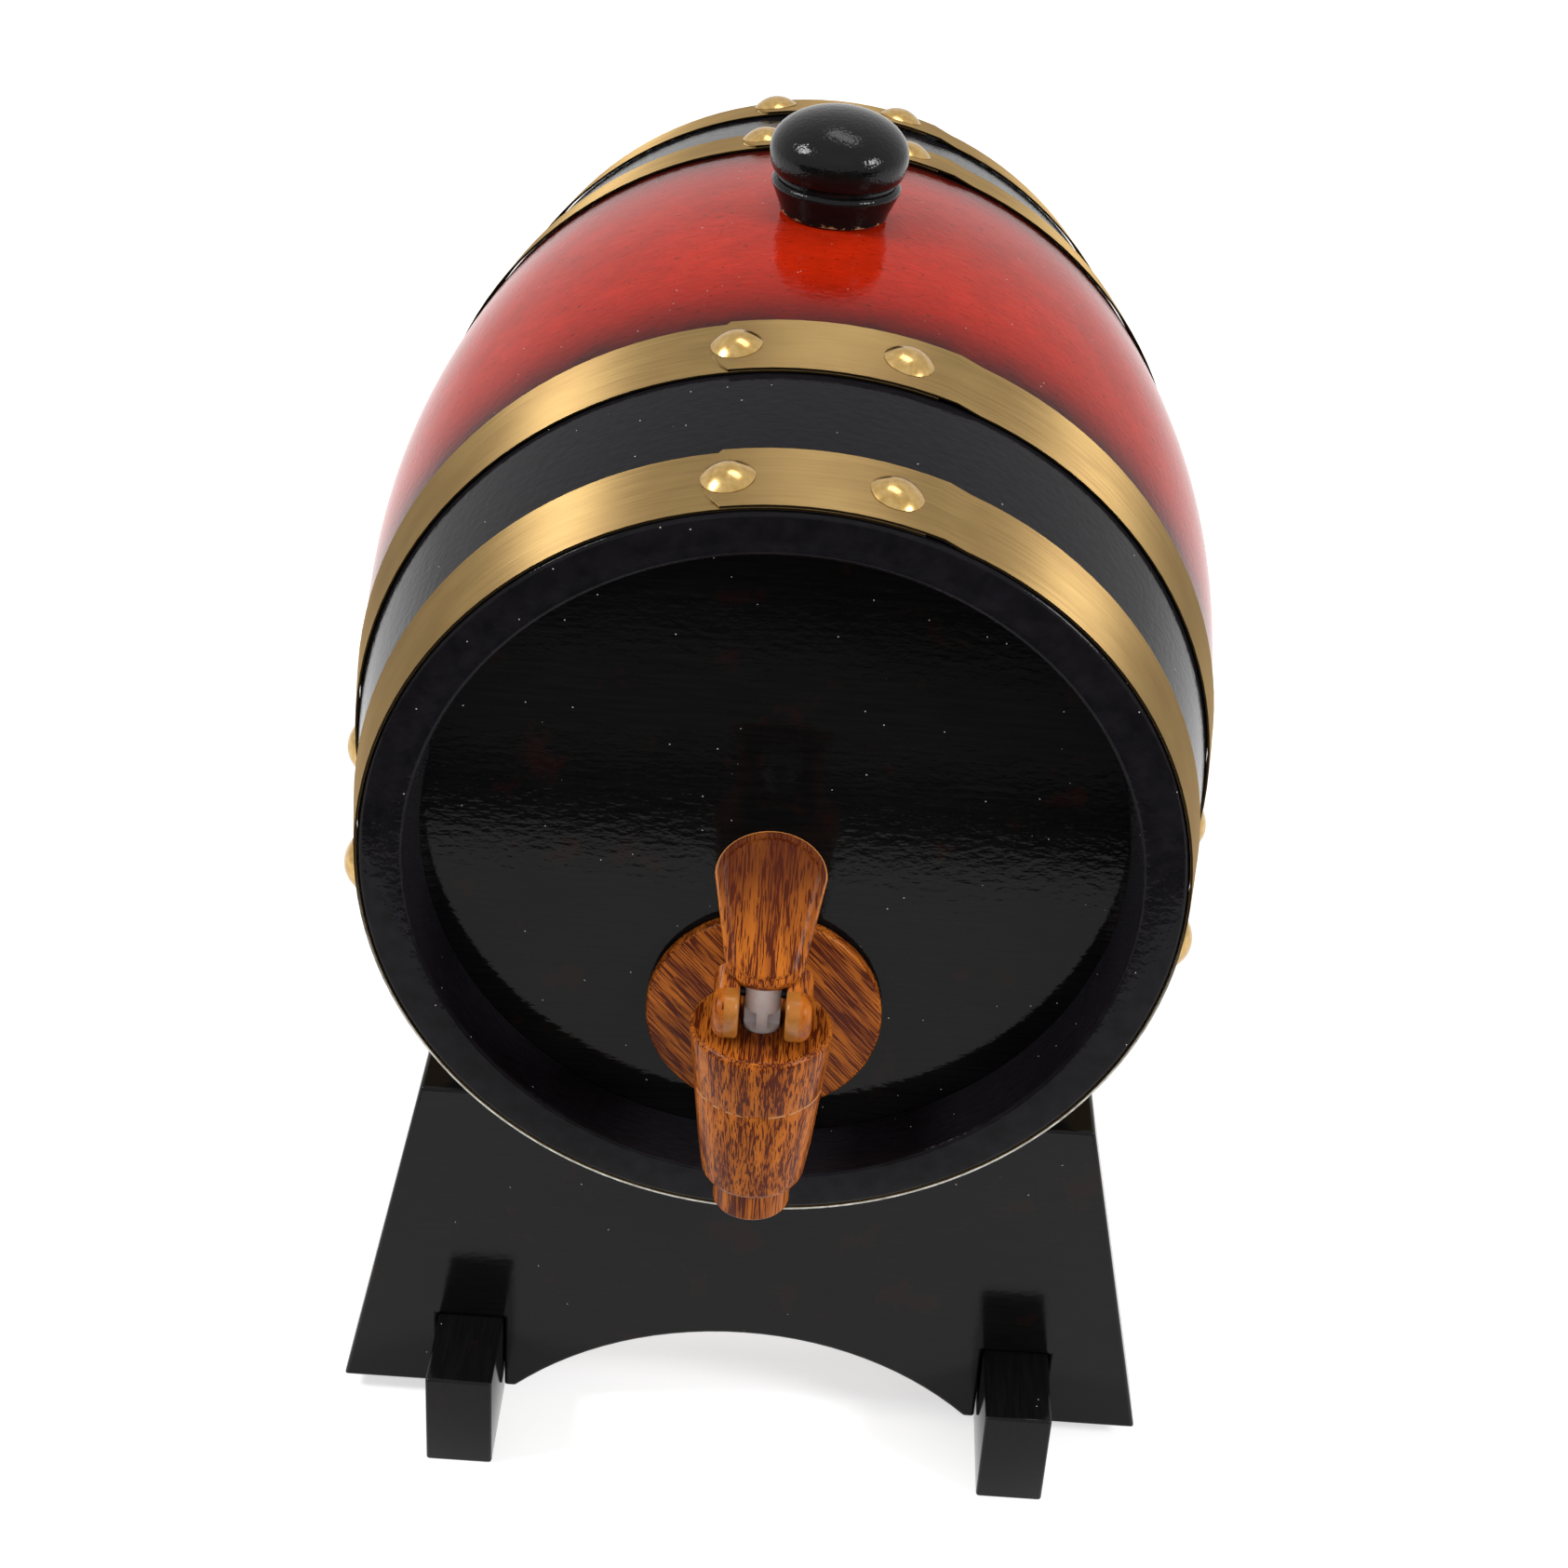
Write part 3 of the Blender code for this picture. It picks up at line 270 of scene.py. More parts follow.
# %% [markdown]
# The section goes once round: over the front rim, along the outside, over the rear rim and back
# along the inside, with a groove near each end that holds a head. One spin makes the shell. The
# bung hole is then drilled through it along the bung's own axis.

# %% The shell of staves
SHELL_STEPS = 56
SHELL_TURN_STEPS = 144

rim_corner = arc((cask_radius(0) - RIM_SOFT, RIM_SOFT), (RIM_SOFT, RIM_SOFT),
                 -QUARTER_TURN, 0, 3)
chime_corner = arc((CHIME_RADIUS + RIM_SOFT, RIM_SOFT), (RIM_SOFT, RIM_SOFT),
                   -QUARTER_TURN, -HALF_TURN, 3)
outside = rim_corner[:-1]
for step in range(SHELL_STEPS + 1):
    depth = RIM_SOFT + (CASK_LENGTH - 2 * RIM_SOFT) * step / SHELL_STEPS
    outside.append((cask_radius(depth), depth))
outside += [(radius, CASK_LENGTH - depth) for radius, depth in reversed(rim_corner[:-1])]
front_end = chime_corner + [
    (CHIME_RADIUS - CHIME_DRAFT, GROOVE_FRONT), (GROOVE_RADIUS, GROOVE_FRONT),
    (GROOVE_RADIUS, GROOVE_BACK),
]
inside = []
for step in range(SHELL_STEPS // 2 + 1):
    depth = GROOVE_BACK + (CASK_LENGTH - 2 * GROOVE_BACK) * 2 * step / SHELL_STEPS
    inside.append((cask_radius(depth) - STAVE_THICKNESS, depth))
back_end = [(radius, CASK_LENGTH - depth) for radius, depth in reversed(front_end)]
shell_section = outside + list(reversed(front_end + inside + back_end))
shell = spin_level("cask_shell", ring(shell_section), CASK_FRONT, SHELL_TURN_STEPS)

bung_axis = around(0, 1, 0) - CASK_FRONT
bung_seat = around(0, BELLY_RADIUS, BUNG_DEPTH)
bpy.ops.mesh.primitive_cylinder_add(vertices=BUNG_HOLE_STEPS, radius=BUNG_HOLE_RADIUS,
                                    depth=DRILL_LENGTH)
hole = set_in_place(bpy.context.object, frame_on(bung_seat, bung_axis))
combine(shell, hole, "DIFFERENCE")
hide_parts("stave_bung", *[f"stave_{number:02d}" for number in range(1, 12)])
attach(shell, "cask")
print("shell faces:", faces_of(shell))

# %% [markdown]
# A hoop is one strip of thin brass, bent round the cask, lapped over itself at the top and nailed
# there. Its outer end is cut to a shallow point. The section that is spun has that point already,
# because each of its corners only moves round its own circle. It is spun in three parts: the
# raised lap, a small step down, and the long way round to the hidden end.

# %% The hoops
HOOP_WIDTH = 17 * MM
HOOP_THICKNESS = 0.5 * MM
HOOP_CLEAR = 0.3 * MM
HOOP_INSET = 0.3 * MM
BAND_WIDTH = 26 * MM
LAP_RISE = 0.55 * MM
LAP_START = math.radians(-14)
LAP_TURN = math.radians(29)
STEP_TURN = math.radians(3.2)
REST_TURN = math.radians(354.4)
END_POINT = math.radians(2.4)
SECTION_PLACES = [0, 0.12, 0.3, 0.5, 0.7, 0.88, 1]
HOOP_EDGE = 0.12 * MM
LAP_STEPS = 10
REST_STEPS = 128

quarter_depth = HOOP_INSET + HOOP_WIDTH + BAND_WIDTH
hoop_depths = {
    "front_chime_hoop": HOOP_INSET,
    "front_quarter_hoop": quarter_depth,
    "rear_quarter_hoop": CASK_LENGTH - quarter_depth - HOOP_WIDTH,
    "rear_chime_hoop": CASK_LENGTH - HOOP_INSET - HOOP_WIDTH,
}


def bend_hoop(name, depth):
    """Spin a lapped strip whose front edge is at a depth on the cask."""
    section = []
    for lift, shares in ((0, SECTION_PLACES), (HOOP_THICKNESS, SECTION_PLACES[::-1])):
        for share in shares:
            place = depth + share * HOOP_WIDTH
            radius = cask_radius(place) + HOOP_CLEAR + LAP_RISE + lift
            section.append(around(LAP_START + END_POINT * (2 * share - 1) ** 2, radius, place))
    piece = draw(name, section, closed=True)
    # The spin operator turns left-handed, so this axis gives clockwise seen from the front.
    spin = {"center": CASK_FRONT, "axis": (0, -1, 0)}
    bpy.ops.mesh.spin(steps=LAP_STEPS, angle=LAP_TURN, **spin)
    bpy.ops.mesh.spin(steps=1, angle=STEP_TURN, **spin)
    shrink = 1 - LAP_RISE / (cask_radius(depth) + HOOP_CLEAR + LAP_RISE)
    bpy.ops.transform.resize(value=(shrink, 1, shrink), center_override=CASK_FRONT)
    bpy.ops.mesh.spin(steps=REST_STEPS, angle=REST_TURN, **spin)
    close_up(piece)
    soften(piece, HOOP_EDGE, degrees=50, segments=2)
    return piece


hoops = {name: bend_hoop(name + "_strip", depth) for name, depth in hoop_depths.items()}
for name, strip in hoops.items():
    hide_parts(name)
    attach(strip, "cask")
    box = [round(v / MM, 1) for v in strip.dimensions]
    print(name, "faces:", faces_of(strip), "size, mm:", box)

# %% [markdown]
# Each hoop is held by four domed brass nails. One nail is turned at the origin, head and shank,
# and copied to its sixteen places, each copy with its own mesh. A stamped head is a low dome with
# a softer slope than a ball's, so it is drawn from a power curve rather than from a circle.

# %% The nails
NAIL_RADIUS = 4.9 * MM
NAIL_HEIGHT = 2.3 * MM
NAIL_EDGE = 0.15 * MM
NAIL_POINT = 2.1
NAIL_FLARE = 0.95
DOME_STEPS = 16
NAIL_STEPS = 48
NAIL_SINK = 0.05 * MM
NAIL_SHANK = 1.0 * MM
NAIL_LENGTH = 7.5 * MM
TOP_NAIL = math.radians(10.7)
SIDE_NAIL = math.radians(97)
NAIL_PLACES = {"top_left": -TOP_NAIL, "top_right": TOP_NAIL, "left": -SIDE_NAIL, "right": SIDE_NAIL}

dome = []
for step in range(DOME_STEPS + 1):
    share = step / DOME_STEPS
    swell = (1 - share ** NAIL_POINT) ** NAIL_FLARE
    dome.append((share * NAIL_RADIUS, NAIL_EDGE + swell * (NAIL_HEIGHT - NAIL_EDGE)))
nail_section = dome + [(NAIL_RADIUS - NAIL_EDGE / 2, 0), (NAIL_SHANK, 0),
                       (NAIL_SHANK, -NAIL_LENGTH), (0, -NAIL_LENGTH)]
first_nail = spin_upright("nail", nail_section, (0, 0, 0), NAIL_STEPS)


def copy_of(piece, name, matrix):
    """A copy with its own mesh, set in place by a matrix."""
    pick(piece)
    bpy.ops.object.duplicate()
    made = bpy.context.object
    made.name = name
    return set_in_place(made, matrix)


nails = []
for hoop_name, depth in hoop_depths.items():
    radii = [cask_radius(depth), cask_radius(depth + HOOP_WIDTH)]
    slope = math.atan2(radii[1] - radii[0], HOOP_WIDTH)
    for place, angle in NAIL_PLACES.items():
        rise = LAP_RISE if place.startswith("top") else 0
        seat = sum(radii) / 2 + HOOP_CLEAR + rise + HOOP_THICKNESS - NAIL_SINK
        spot = around(angle, seat, depth + HOOP_WIDTH / 2)
        outward = around(angle, math.cos(slope), -math.sin(slope)) - CASK_FRONT
        nail = copy_of(first_nail, f"{hoop_name}_dome_{place}", frame_on(spot, outward))
        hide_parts(f"{hoop_name}_nail_{place}")
        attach(nail, "cask")
        nails.append(nail)
pick(first_nail)
bpy.ops.object.delete()
print("nails:", len(nails), "faces each:", faces_of(nails[0]))

# %% [markdown]
# The bung is a turned knob: a domed cap over a groove and a tapered collar, on a short shank that
# plugs the hole. It is drawn upright at the origin and then stood on the cask, because its axis
# leans with the cask. It rides on its own body, for it can be pulled out.

# %% The bung
BUNG_HEIGHT = 21.4 * MM
BUNG_CAP = (14.1 * MM, 12.7 * MM)
BUNG_COLLAR = (13.2 * MM, 6.0 * MM)
BUNG_GROOVE = (12.2 * MM, 7.9 * MM)
BUNG_BASE = (11.1 * MM, 0.9 * MM)
BUNG_SHANK = 9.3 * MM
BUNG_TAPER = 0.7 * MM
BUNG_SHANK_LENGTH = 15 * MM
BUNG_FOOT = 0.3 * MM
COLLAR_ROUND = 1.2 * MM
COLLAR_TURN = (math.radians(80), math.radians(-20))
CAP_STEPS = 16
UNDER_CAP_STEPS = 10
COLLAR_STEPS = 8
BUNG_STEPS = 72

cap = arc((0, BUNG_CAP[1]), (BUNG_CAP[0], BUNG_HEIGHT - BUNG_CAP[1]), QUARTER_TURN, 0, CAP_STEPS)
under_cap = arc((BUNG_GROOVE[0], BUNG_CAP[1]),
                (BUNG_CAP[0] - BUNG_GROOVE[0], BUNG_CAP[1] - BUNG_GROOVE[1]),
                0, -QUARTER_TURN, UNDER_CAP_STEPS)[1:]
collar = arc((BUNG_COLLAR[0] - COLLAR_ROUND, BUNG_COLLAR[1]), (COLLAR_ROUND, COLLAR_ROUND),
             *COLLAR_TURN, COLLAR_STEPS)
collar += [BUNG_BASE, (BUNG_BASE[0], BUNG_FOOT)]
bung_section = cap + under_cap + collar + [
    (BUNG_SHANK, BUNG_FOOT), (BUNG_SHANK - BUNG_TAPER, -BUNG_SHANK_LENGTH),
    (0, -BUNG_SHANK_LENGTH),
]
bung = spin_upright("bung_knob", bung_section, (0, 0, 0), BUNG_STEPS)
set_in_place(bung, frame_on(bung_seat, bung_axis))
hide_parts("bung")
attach(bung, "bung")
print("bung faces:", faces_of(bung))

# %% [markdown]
# The tap is moulded in plastic in a few parts. The body is an upright barrel with a spout below and
# a shank that goes back through the head, its thread left out. Two turned forms are joined, then
# bored both ways, so that liquor could really run from the cask to the spout.

# %% The tap body
TAP = Vector((0, -115.45 * MM, 116.4 * MM))
BARREL_TOP = (11.9 * MM, 10.0 * MM)
BARREL_WAIST = (10.6 * MM, -3.0 * MM)
BARREL_FOOT = (9.7 * MM, -9.5 * MM)
FOOT_ROUND = 2.2 * MM
SPOUT_RADIUS = 7.2 * MM
SPOUT_BORE = 5.2 * MM
SPOUT_BOTTOM = -18.2 * MM
LIP_ROUND = 0.6 * MM
SEAM_ROUND = 0.15 * MM
CHAMBER_RADIUS = 8.4 * MM
SEAT_TOP = -6.9 * MM
SEAT_UNDER = -8.9 * MM
SEAT_HOLE = 4.6 * MM
NECK_RADIUS = 9.5 * MM
NECK_END = 32.4 * MM
SHANK_RADIUS = 8.0 * MM
SHANK_BORE = 4.5 * MM
SHANK_END = 58.1 * MM
REACH_PAST = 4 * MM
REACH_IN = 1.3 * MM
TAP_STEPS = 72

foot_round = arc((BARREL_FOOT[0] - FOOT_ROUND, BARREL_FOOT[1]), (FOOT_ROUND, FOOT_ROUND),
                 0, -QUARTER_TURN, 6)
lip_round = arc((SPOUT_RADIUS - LIP_ROUND, SPOUT_BOTTOM + LIP_ROUND), (LIP_ROUND, LIP_ROUND),
                0, -QUARTER_TURN, 4)
seam_round = arc((BARREL_TOP[0] - SEAM_ROUND, BARREL_TOP[1] - SEAM_ROUND),
                 (SEAM_ROUND, SEAM_ROUND), QUARTER_TURN, 0, 3)
barrel_section = [(0, BARREL_TOP[1])] + seam_round + [BARREL_WAIST] + foot_round + [
    (SPOUT_RADIUS, BARREL_FOOT[1] - FOOT_ROUND)] + lip_round + [(0, SPOUT_BOTTOM)]
chamber_section = [
    (0, BARREL_TOP[1] + REACH_PAST), (CHAMBER_RADIUS, BARREL_TOP[1] + REACH_PAST),
    (CHAMBER_RADIUS, SEAT_TOP), (SEAT_HOLE, SEAT_TOP), (SEAT_HOLE, SEAT_UNDER),
    (SPOUT_BORE, SEAT_UNDER), (SPOUT_BORE, SPOUT_BOTTOM - REACH_PAST),
    (0, SPOUT_BOTTOM - REACH_PAST),
]
shank_section = [(0, REACH_IN), (NECK_RADIUS, REACH_IN), (NECK_RADIUS, NECK_END),
                 (SHANK_RADIUS, NECK_END), (SHANK_RADIUS, SHANK_END), (0, SHANK_END)]
bore_section = [(0, REACH_IN), (SHANK_BORE, REACH_IN), (SHANK_BORE, SHANK_END + REACH_PAST),
                (0, SHANK_END + REACH_PAST)]
tap_body = spin_upright("tap_moulding", barrel_section, TAP, TAP_STEPS)
combine(tap_body, spin_level("shank_form", shank_section, TAP, TAP_STEPS), "UNION")
combine(tap_body, spin_upright("chamber_form", chamber_section, TAP, TAP_STEPS), "DIFFERENCE")
combine(tap_body, spin_level("bore_form", bore_section, TAP, TAP_STEPS // 2), "DIFFERENCE")
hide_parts("tap_body")
print("tap body faces:", faces_of(tap_body))

# %% [markdown]
# The bonnet is screwed on top of the barrel. It guides the stem and has room inside for its seal
# and its spring. The round flange lies behind the barrel, over a gasket on the front head. Both
# are spun as closed rings. The small rounds where bonnet and barrel meet draw the seam.

# %% The bonnet and the flange
BONNET_RADIUS = 13.1 * MM
BONNET_TOP = 23.0 * MM
BONNET_ROUND = 1.4 * MM
BONNET_BOTTOM = 10.08 * MM
STEM_GUIDE = 3.7 * MM
SEAL_ROOM = (5.3 * MM, 19.3 * MM, 17.1 * MM)
SPRING_ROOM = (6.6 * MM, 5.2 * MM)
SKIRT_RADIUS = 8.1 * MM
bonnet_round = arc((BONNET_RADIUS - BONNET_ROUND, BONNET_TOP - BONNET_ROUND),
                   (BONNET_ROUND, BONNET_ROUND), 0, QUARTER_TURN, 6)
seam_under = arc((BARREL_TOP[0] - SEAM_ROUND, BONNET_BOTTOM + SEAM_ROUND),
                 (SEAM_ROUND, SEAM_ROUND), -QUARTER_TURN, 0, 3)
bonnet_section = seam_under + bonnet_round + [
    (STEM_GUIDE, BONNET_TOP), (STEM_GUIDE, SEAL_ROOM[1]), (SEAL_ROOM[0], SEAL_ROOM[1]),
    (SEAL_ROOM[0], SEAL_ROOM[2]), (SPRING_ROOM[0], SEAL_ROOM[2]), SPRING_ROOM,
    (SKIRT_RADIUS, SPRING_ROOM[1]), (SKIRT_RADIUS, BONNET_BOTTOM),
]
tap_bonnet = spin_upright("tap_cap", ring(bonnet_section), TAP, TAP_STEPS)
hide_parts("tap_bonnet")

FLANGE_RADIUS = 23.2 * MM
FLANGE_THICKNESS = 2.5 * MM
FLANGE_ROUND = 0.7 * MM
FLANGE_HOLE = 8.3 * MM
GASKET_ROOM = (12.5 * MM, 1.3 * MM)
FLANGE_STEPS = 96
flange_start = Vector((0, -82.75 * MM, TAP.z))
flange_round = arc((FLANGE_RADIUS - FLANGE_ROUND, FLANGE_ROUND), (FLANGE_ROUND, FLANGE_ROUND),
                   -QUARTER_TURN, 0, 5)
flange_section = [(FLANGE_HOLE, 0)] + flange_round + [
    (FLANGE_RADIUS, FLANGE_THICKNESS), (GASKET_ROOM[0], FLANGE_THICKNESS), GASKET_ROOM,
    (FLANGE_HOLE, GASKET_ROOM[1]),
]
tap_flange = spin_level("tap_disc", ring(flange_section), flange_start, FLANGE_STEPS)
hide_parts("tap_flange")
for piece in (tap_body, tap_bonnet, tap_flange):
    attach(piece, "cask")
print("bonnet and flange faces:", faces_of(tap_bonnet), faces_of(tap_flange))

# %% [markdown]
# The white stem comes up through the bonnet between the lever's cheeks. Four notches leave a thin
# cross-shaped rib just above the bonnet, where the mould saved plastic. They are cut with four
# square bars after the stem is turned, and the edges are then softened a little.

# %% The valve stem
STEM_TOP = 33.4 * MM
STEM_RADIUS = 3.4 * MM
STEM_ROUND = 1.2 * MM
STEM_SHAFT = (3.0 * MM, 19.3 * MM)
STEM_SHOULDER = 20.7 * MM
STEM_COLLAR = (6.2 * MM, -2.1 * MM, -4.1 * MM)
STEM_SPIGOT = 2.0 * MM
STEM_BARB = (2.9 * MM, -6.9 * MM, -8.3 * MM)
RIB = 2.0 * MM
NOTCH = (23.6 * MM, 27.1 * MM)
STEM_STEPS = 48
stem_round = arc((STEM_RADIUS - STEM_ROUND, STEM_TOP - STEM_ROUND), (STEM_ROUND, STEM_ROUND),
                 QUARTER_TURN, 0, 5)
stem_section = [(0, STEM_TOP)] + stem_round + [
    (STEM_RADIUS, STEM_SHOULDER), STEM_SHAFT, (STEM_SHAFT[0], STEM_COLLAR[1]),
    (STEM_COLLAR[0], STEM_COLLAR[1]), (STEM_COLLAR[0], STEM_COLLAR[2]),
    (STEM_SPIGOT, STEM_COLLAR[2]), (STEM_SPIGOT, STEM_BARB[1]), (STEM_BARB[0], STEM_BARB[1]),
    (STEM_SPIGOT, STEM_BARB[2]), (0, STEM_BARB[2]),
]
stem = spin_upright("stem_moulding", stem_section, TAP, STEM_STEPS)
for side in (-1, 1):
    for end in (-1, 1):
        middle = (side * (RIB / 2 + STEM_RADIUS), end * (RIB / 2 + STEM_RADIUS), sum(NOTCH) / 2)
        bpy.ops.mesh.primitive_cube_add(size=1, location=TAP + Vector(middle))
        notch = bpy.context.object
        notch.scale = (2 * STEM_RADIUS, 2 * STEM_RADIUS, NOTCH[1] - NOTCH[0])
        pick(notch)
        bpy.ops.object.transform_apply(location=True, rotation=True, scale=True)
        combine(stem, notch, "DIFFERENCE")
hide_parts("valve_stem")
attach(stem, "stem")
print("stem faces:", faces_of(stem))

# %% [markdown]
# The return spring sits inside the bonnet, on the stem's collar. It is one loop of wire swept up a
# helix by the Screw modifier.

# %% The return spring
SPRING_RADIUS = 5.7 * MM
SPRING_WIRE = 0.45 * MM
SPRING_TURNS = 6
SPRING_STEPS = 24
WIRE_SIDES = 10
SPRING_ENDS = (-1.6 * MM, 16.6 * MM)
STEM_TRAVEL = 5.5 * MM

bpy.ops.object.select_all(action="DESELECT")
bpy.ops.mesh.primitive_circle_add(vertices=WIRE_SIDES, radius=SPRING_WIRE,
                                  location=(SPRING_RADIUS, 0, 0), rotation=(QUARTER_TURN, 0, 0))
spring = bpy.context.object
spring.name = "coil_spring"
bpy.ops.object.transform_apply(location=True, rotation=True, scale=True)
sweep = spring.modifiers.new("sweep", "SCREW")
sweep.iterations = SPRING_TURNS
sweep.screw_offset = (SPRING_ENDS[1] - SPRING_ENDS[0]) / SPRING_TURNS
sweep.steps = sweep.render_steps = SPRING_STEPS
bpy.ops.object.modifier_apply(modifier=sweep.name)
bpy.ops.object.mode_set(mode="EDIT")
bpy.ops.mesh.select_all(action="SELECT")
bpy.ops.mesh.fill_holes(sides=WIRE_SIDES)
close_up(spring)
set_in_place(spring, Matrix.Translation(TAP + Vector((0, 0, SPRING_ENDS[0]))))
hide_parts("valve_spring")
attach(spring, "cask")
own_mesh(spring)

# %% [markdown]
# The lever is one moulding: a paddle for the thumb on two cheeks. The paddle leans, so its outline
# is drawn in lengths up the paddle and out from the pin. Two insets leave a raised rim round a
# shallow dish.

# %% The paddle of the lever
PIN = TAP + Vector((0, 0, 30.0 * MM))
PADDLE_TILT = math.radians(40.6)
PADDLE_LENGTH = 29.5 * MM
PADDLE_LIP_DROP = 1.6 * MM
PADDLE_THICKNESS = 2.3 * MM
PADDLE_STAND_OFF = 7.9 * MM
LIP_ARC = (7.1 * MM, 4.4 * MM)
TOP_ARC = (10.2 * MM, 8.4 * MM)
RIM_WIDTH = 1.3 * MM
DISH_WIDTH = 0.7 * MM
DISH_DEPTH = 0.45 * MM
PADDLE_ROUND = 0.7 * MM
LIP_STEPS = 20
TOP_STEPS = 24


def on_lever(across, along, out):
    """A point by its length up the paddle from its lip and its distance out from the pin."""
    rise = along - PADDLE_LIP_DROP
    forward = out * math.sin(PADDLE_TILT) - rise * math.cos(PADDLE_TILT)
    up = out * math.cos(PADDLE_TILT) + rise * math.sin(PADDLE_TILT)
    return PIN + Vector((across, -forward, up))


out_way = on_lever(0, 0, 1) - on_lever(0, 0, 0)
outline = arc((0, LIP_ARC[1]), LIP_ARC, HALF_TURN, FULL_TURN, LIP_STEPS)
outline += arc((0, PADDLE_LENGTH - TOP_ARC[1]), TOP_ARC, 0, HALF_TURN, TOP_STEPS)
paddle_under = PADDLE_STAND_OFF - PADDLE_THICKNESS
lever = draw("lever_moulding", [on_lever(x, y, paddle_under) for x, y in outline], closed=True)
bpy.ops.mesh.extrude_region_move(TRANSFORM_OT_translate={"value": out_way * PADDLE_THICKNESS})
bpy.ops.mesh.inset(thickness=RIM_WIDTH, depth=0)
bpy.ops.mesh.inset(thickness=DISH_WIDTH, depth=-DISH_DEPTH)
close_up(lever)
soften(lever, PADDLE_ROUND, degrees=60, segments=5)
print("paddle faces:", faces_of(lever), "volume, mm3:", round(volume(lever) / MM ** 3))

# %% [markdown]
# Each cheek's lower edge is a cam, the curve a string draws as it unwinds, so that every degree of
# turn lifts the stem by the same amount. The cheeks are drawn from the side and pushed out
# sideways. Each rim is rounded over by insets that climb a quarter circle, because a bevel would
# be held back by the short edges of the cam.

# %% The cam cheeks of the lever
LEVER_SWING = math.radians(90)
CAM_BASE = 6.7 * MM
CAM_GROWTH = STEM_TRAVEL / LEVER_SWING
CAM_STEPS = 12
CHEEK_GAP = 8.4 * MM
CHEEK_THICKNESS = 4.7 * MM
CHEEK_HEEL = 4.5 * MM
CHEEK_CORNER = 2.0 * MM
CHEEK_WEB = 4.5 * MM
CHEEK_NOSE = 3.2 * MM
CHEEK_OUTER_ROUND = 2.2 * MM
CHEEK_INNER_ROUND = 0.7 * MM
OUTER_ROUND_STEPS = 7
INNER_ROUND_STEPS = 3
NOSE_STEPS = 5
PIN_HOLE = 1.5 * MM
PIN_HOLE_STEPS = 32

cheek_side = [(-CHEEK_HEEL, CHEEK_CORNER - CAM_BASE), (CHEEK_CORNER - CHEEK_HEEL, -CAM_BASE)]
for step in range(CAM_STEPS):
    turn = LEVER_SWING * step / CAM_STEPS
    reach = CAM_BASE + CAM_GROWTH * turn
    cheek_side.append((reach * math.sin(turn) + CAM_GROWTH * math.cos(turn),
                       CAM_GROWTH * math.sin(turn) - reach * math.cos(turn)))
nose = cheek_side[-1]
cheek_side += arc((nose[0] - CHEEK_NOSE, nose[1]), (CHEEK_NOSE, CHEEK_NOSE),
                  0, QUARTER_TURN, NOSE_STEPS)[1:]
lip = on_lever(0, 0, PADDLE_STAND_OFF - PADDLE_ROUND) - PIN
cheek_side.append((-lip.y, lip.z))
web = on_lever(0, CHEEK_WEB, PADDLE_STAND_OFF - PADDLE_THICKNESS / 2) - PIN
cheek_side += [(-web.y, web.z), (-CHEEK_HEEL, 0)]


def round_over(piece, face_x, way, radius, steps):
    """Round the rim of the face at face_x by insets that follow a quarter circle outwards."""
    bpy.ops.mesh.select_mode(type="FACE")
    bpy.ops.mesh.select_all(action="DESELECT")
    bpy.ops.object.mode_set(mode="OBJECT")
    for face in piece.data.polygons:
        face.select = abs(face.center.x - face_x) < MERGE and abs(face.normal.x) > 0.9
    bpy.ops.object.mode_set(mode="EDIT")
    quarter = arc((0, 0), (radius, radius), 0, QUARTER_TURN, steps)
    for (wide, low), (narrow, high) in zip(quarter, quarter[1:]):
        bpy.ops.mesh.inset(thickness=wide - narrow, depth=0)
        bpy.ops.transform.translate(value=(way * (high - low), 0, 0))
    bpy.ops.mesh.select_mode(type="VERT")


for side in (-1, 1):
    inner = side * (CHEEK_GAP / 2 + CHEEK_INNER_ROUND)
    outer = side * (CHEEK_GAP / 2 + CHEEK_THICKNESS - CHEEK_OUTER_ROUND)
    corners = [PIN + Vector((inner, -forth, up)) for forth, up in cheek_side]
    cheek = draw(f"cheek_{side}", corners, closed=True)
    bpy.ops.mesh.extrude_region_move(TRANSFORM_OT_translate={"value": (outer - inner, 0, 0)})
    round_over(cheek, outer, side, CHEEK_OUTER_ROUND, OUTER_ROUND_STEPS)
    round_over(cheek, inner, -side, CHEEK_INNER_ROUND, INNER_ROUND_STEPS)
    close_up(cheek)
    combine(lever, cheek, "UNION")
bpy.ops.mesh.primitive_cylinder_add(vertices=PIN_HOLE_STEPS, radius=PIN_HOLE,
                                    depth=DRILL_LENGTH)
pin_hole = set_in_place(bpy.context.object, frame_on(PIN, Vector((1, 0, 0))))
combine(lever, pin_hole, "DIFFERENCE")
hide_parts("tap_lever")
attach(lever, "lever")
print("lever faces:", faces_of(lever), "volume, mm3:", round(volume(lever) / MM ** 3))

# %% [markdown]
# The stand is two cradle panels slotted over two long bars. A panel is sawn from board, so it is
# drawn as one outline with its slots and its arch, pushed back by its thickness and softened the
# way sanding and paint soften a sawn edge.

# %% The stand's panels and bars
PANEL_THICKNESS = 15 * MM
PANEL_FRONTS = {"front": -72.75 * MM, "rear": 93.45 * MM}
PANEL_FOOT = (87.3 * MM, 3.6 * MM)
PANEL_SHOULDER = (69.5 * MM, 85.1 * MM)
BAR_WIDTH = 14.1 * MM
BAR_HEIGHT = 23.2 * MM
BAR_ACROSS = 59.25 * MM
CLEAR = 0.3 * MM
ARCH_LAND = 2.4 * MM
ARCH_RISE = 19.9 * MM
STAND_ROUND = 0.7 * MM
CRADLE_STEPS = 40
ARCH_STEPS = 28

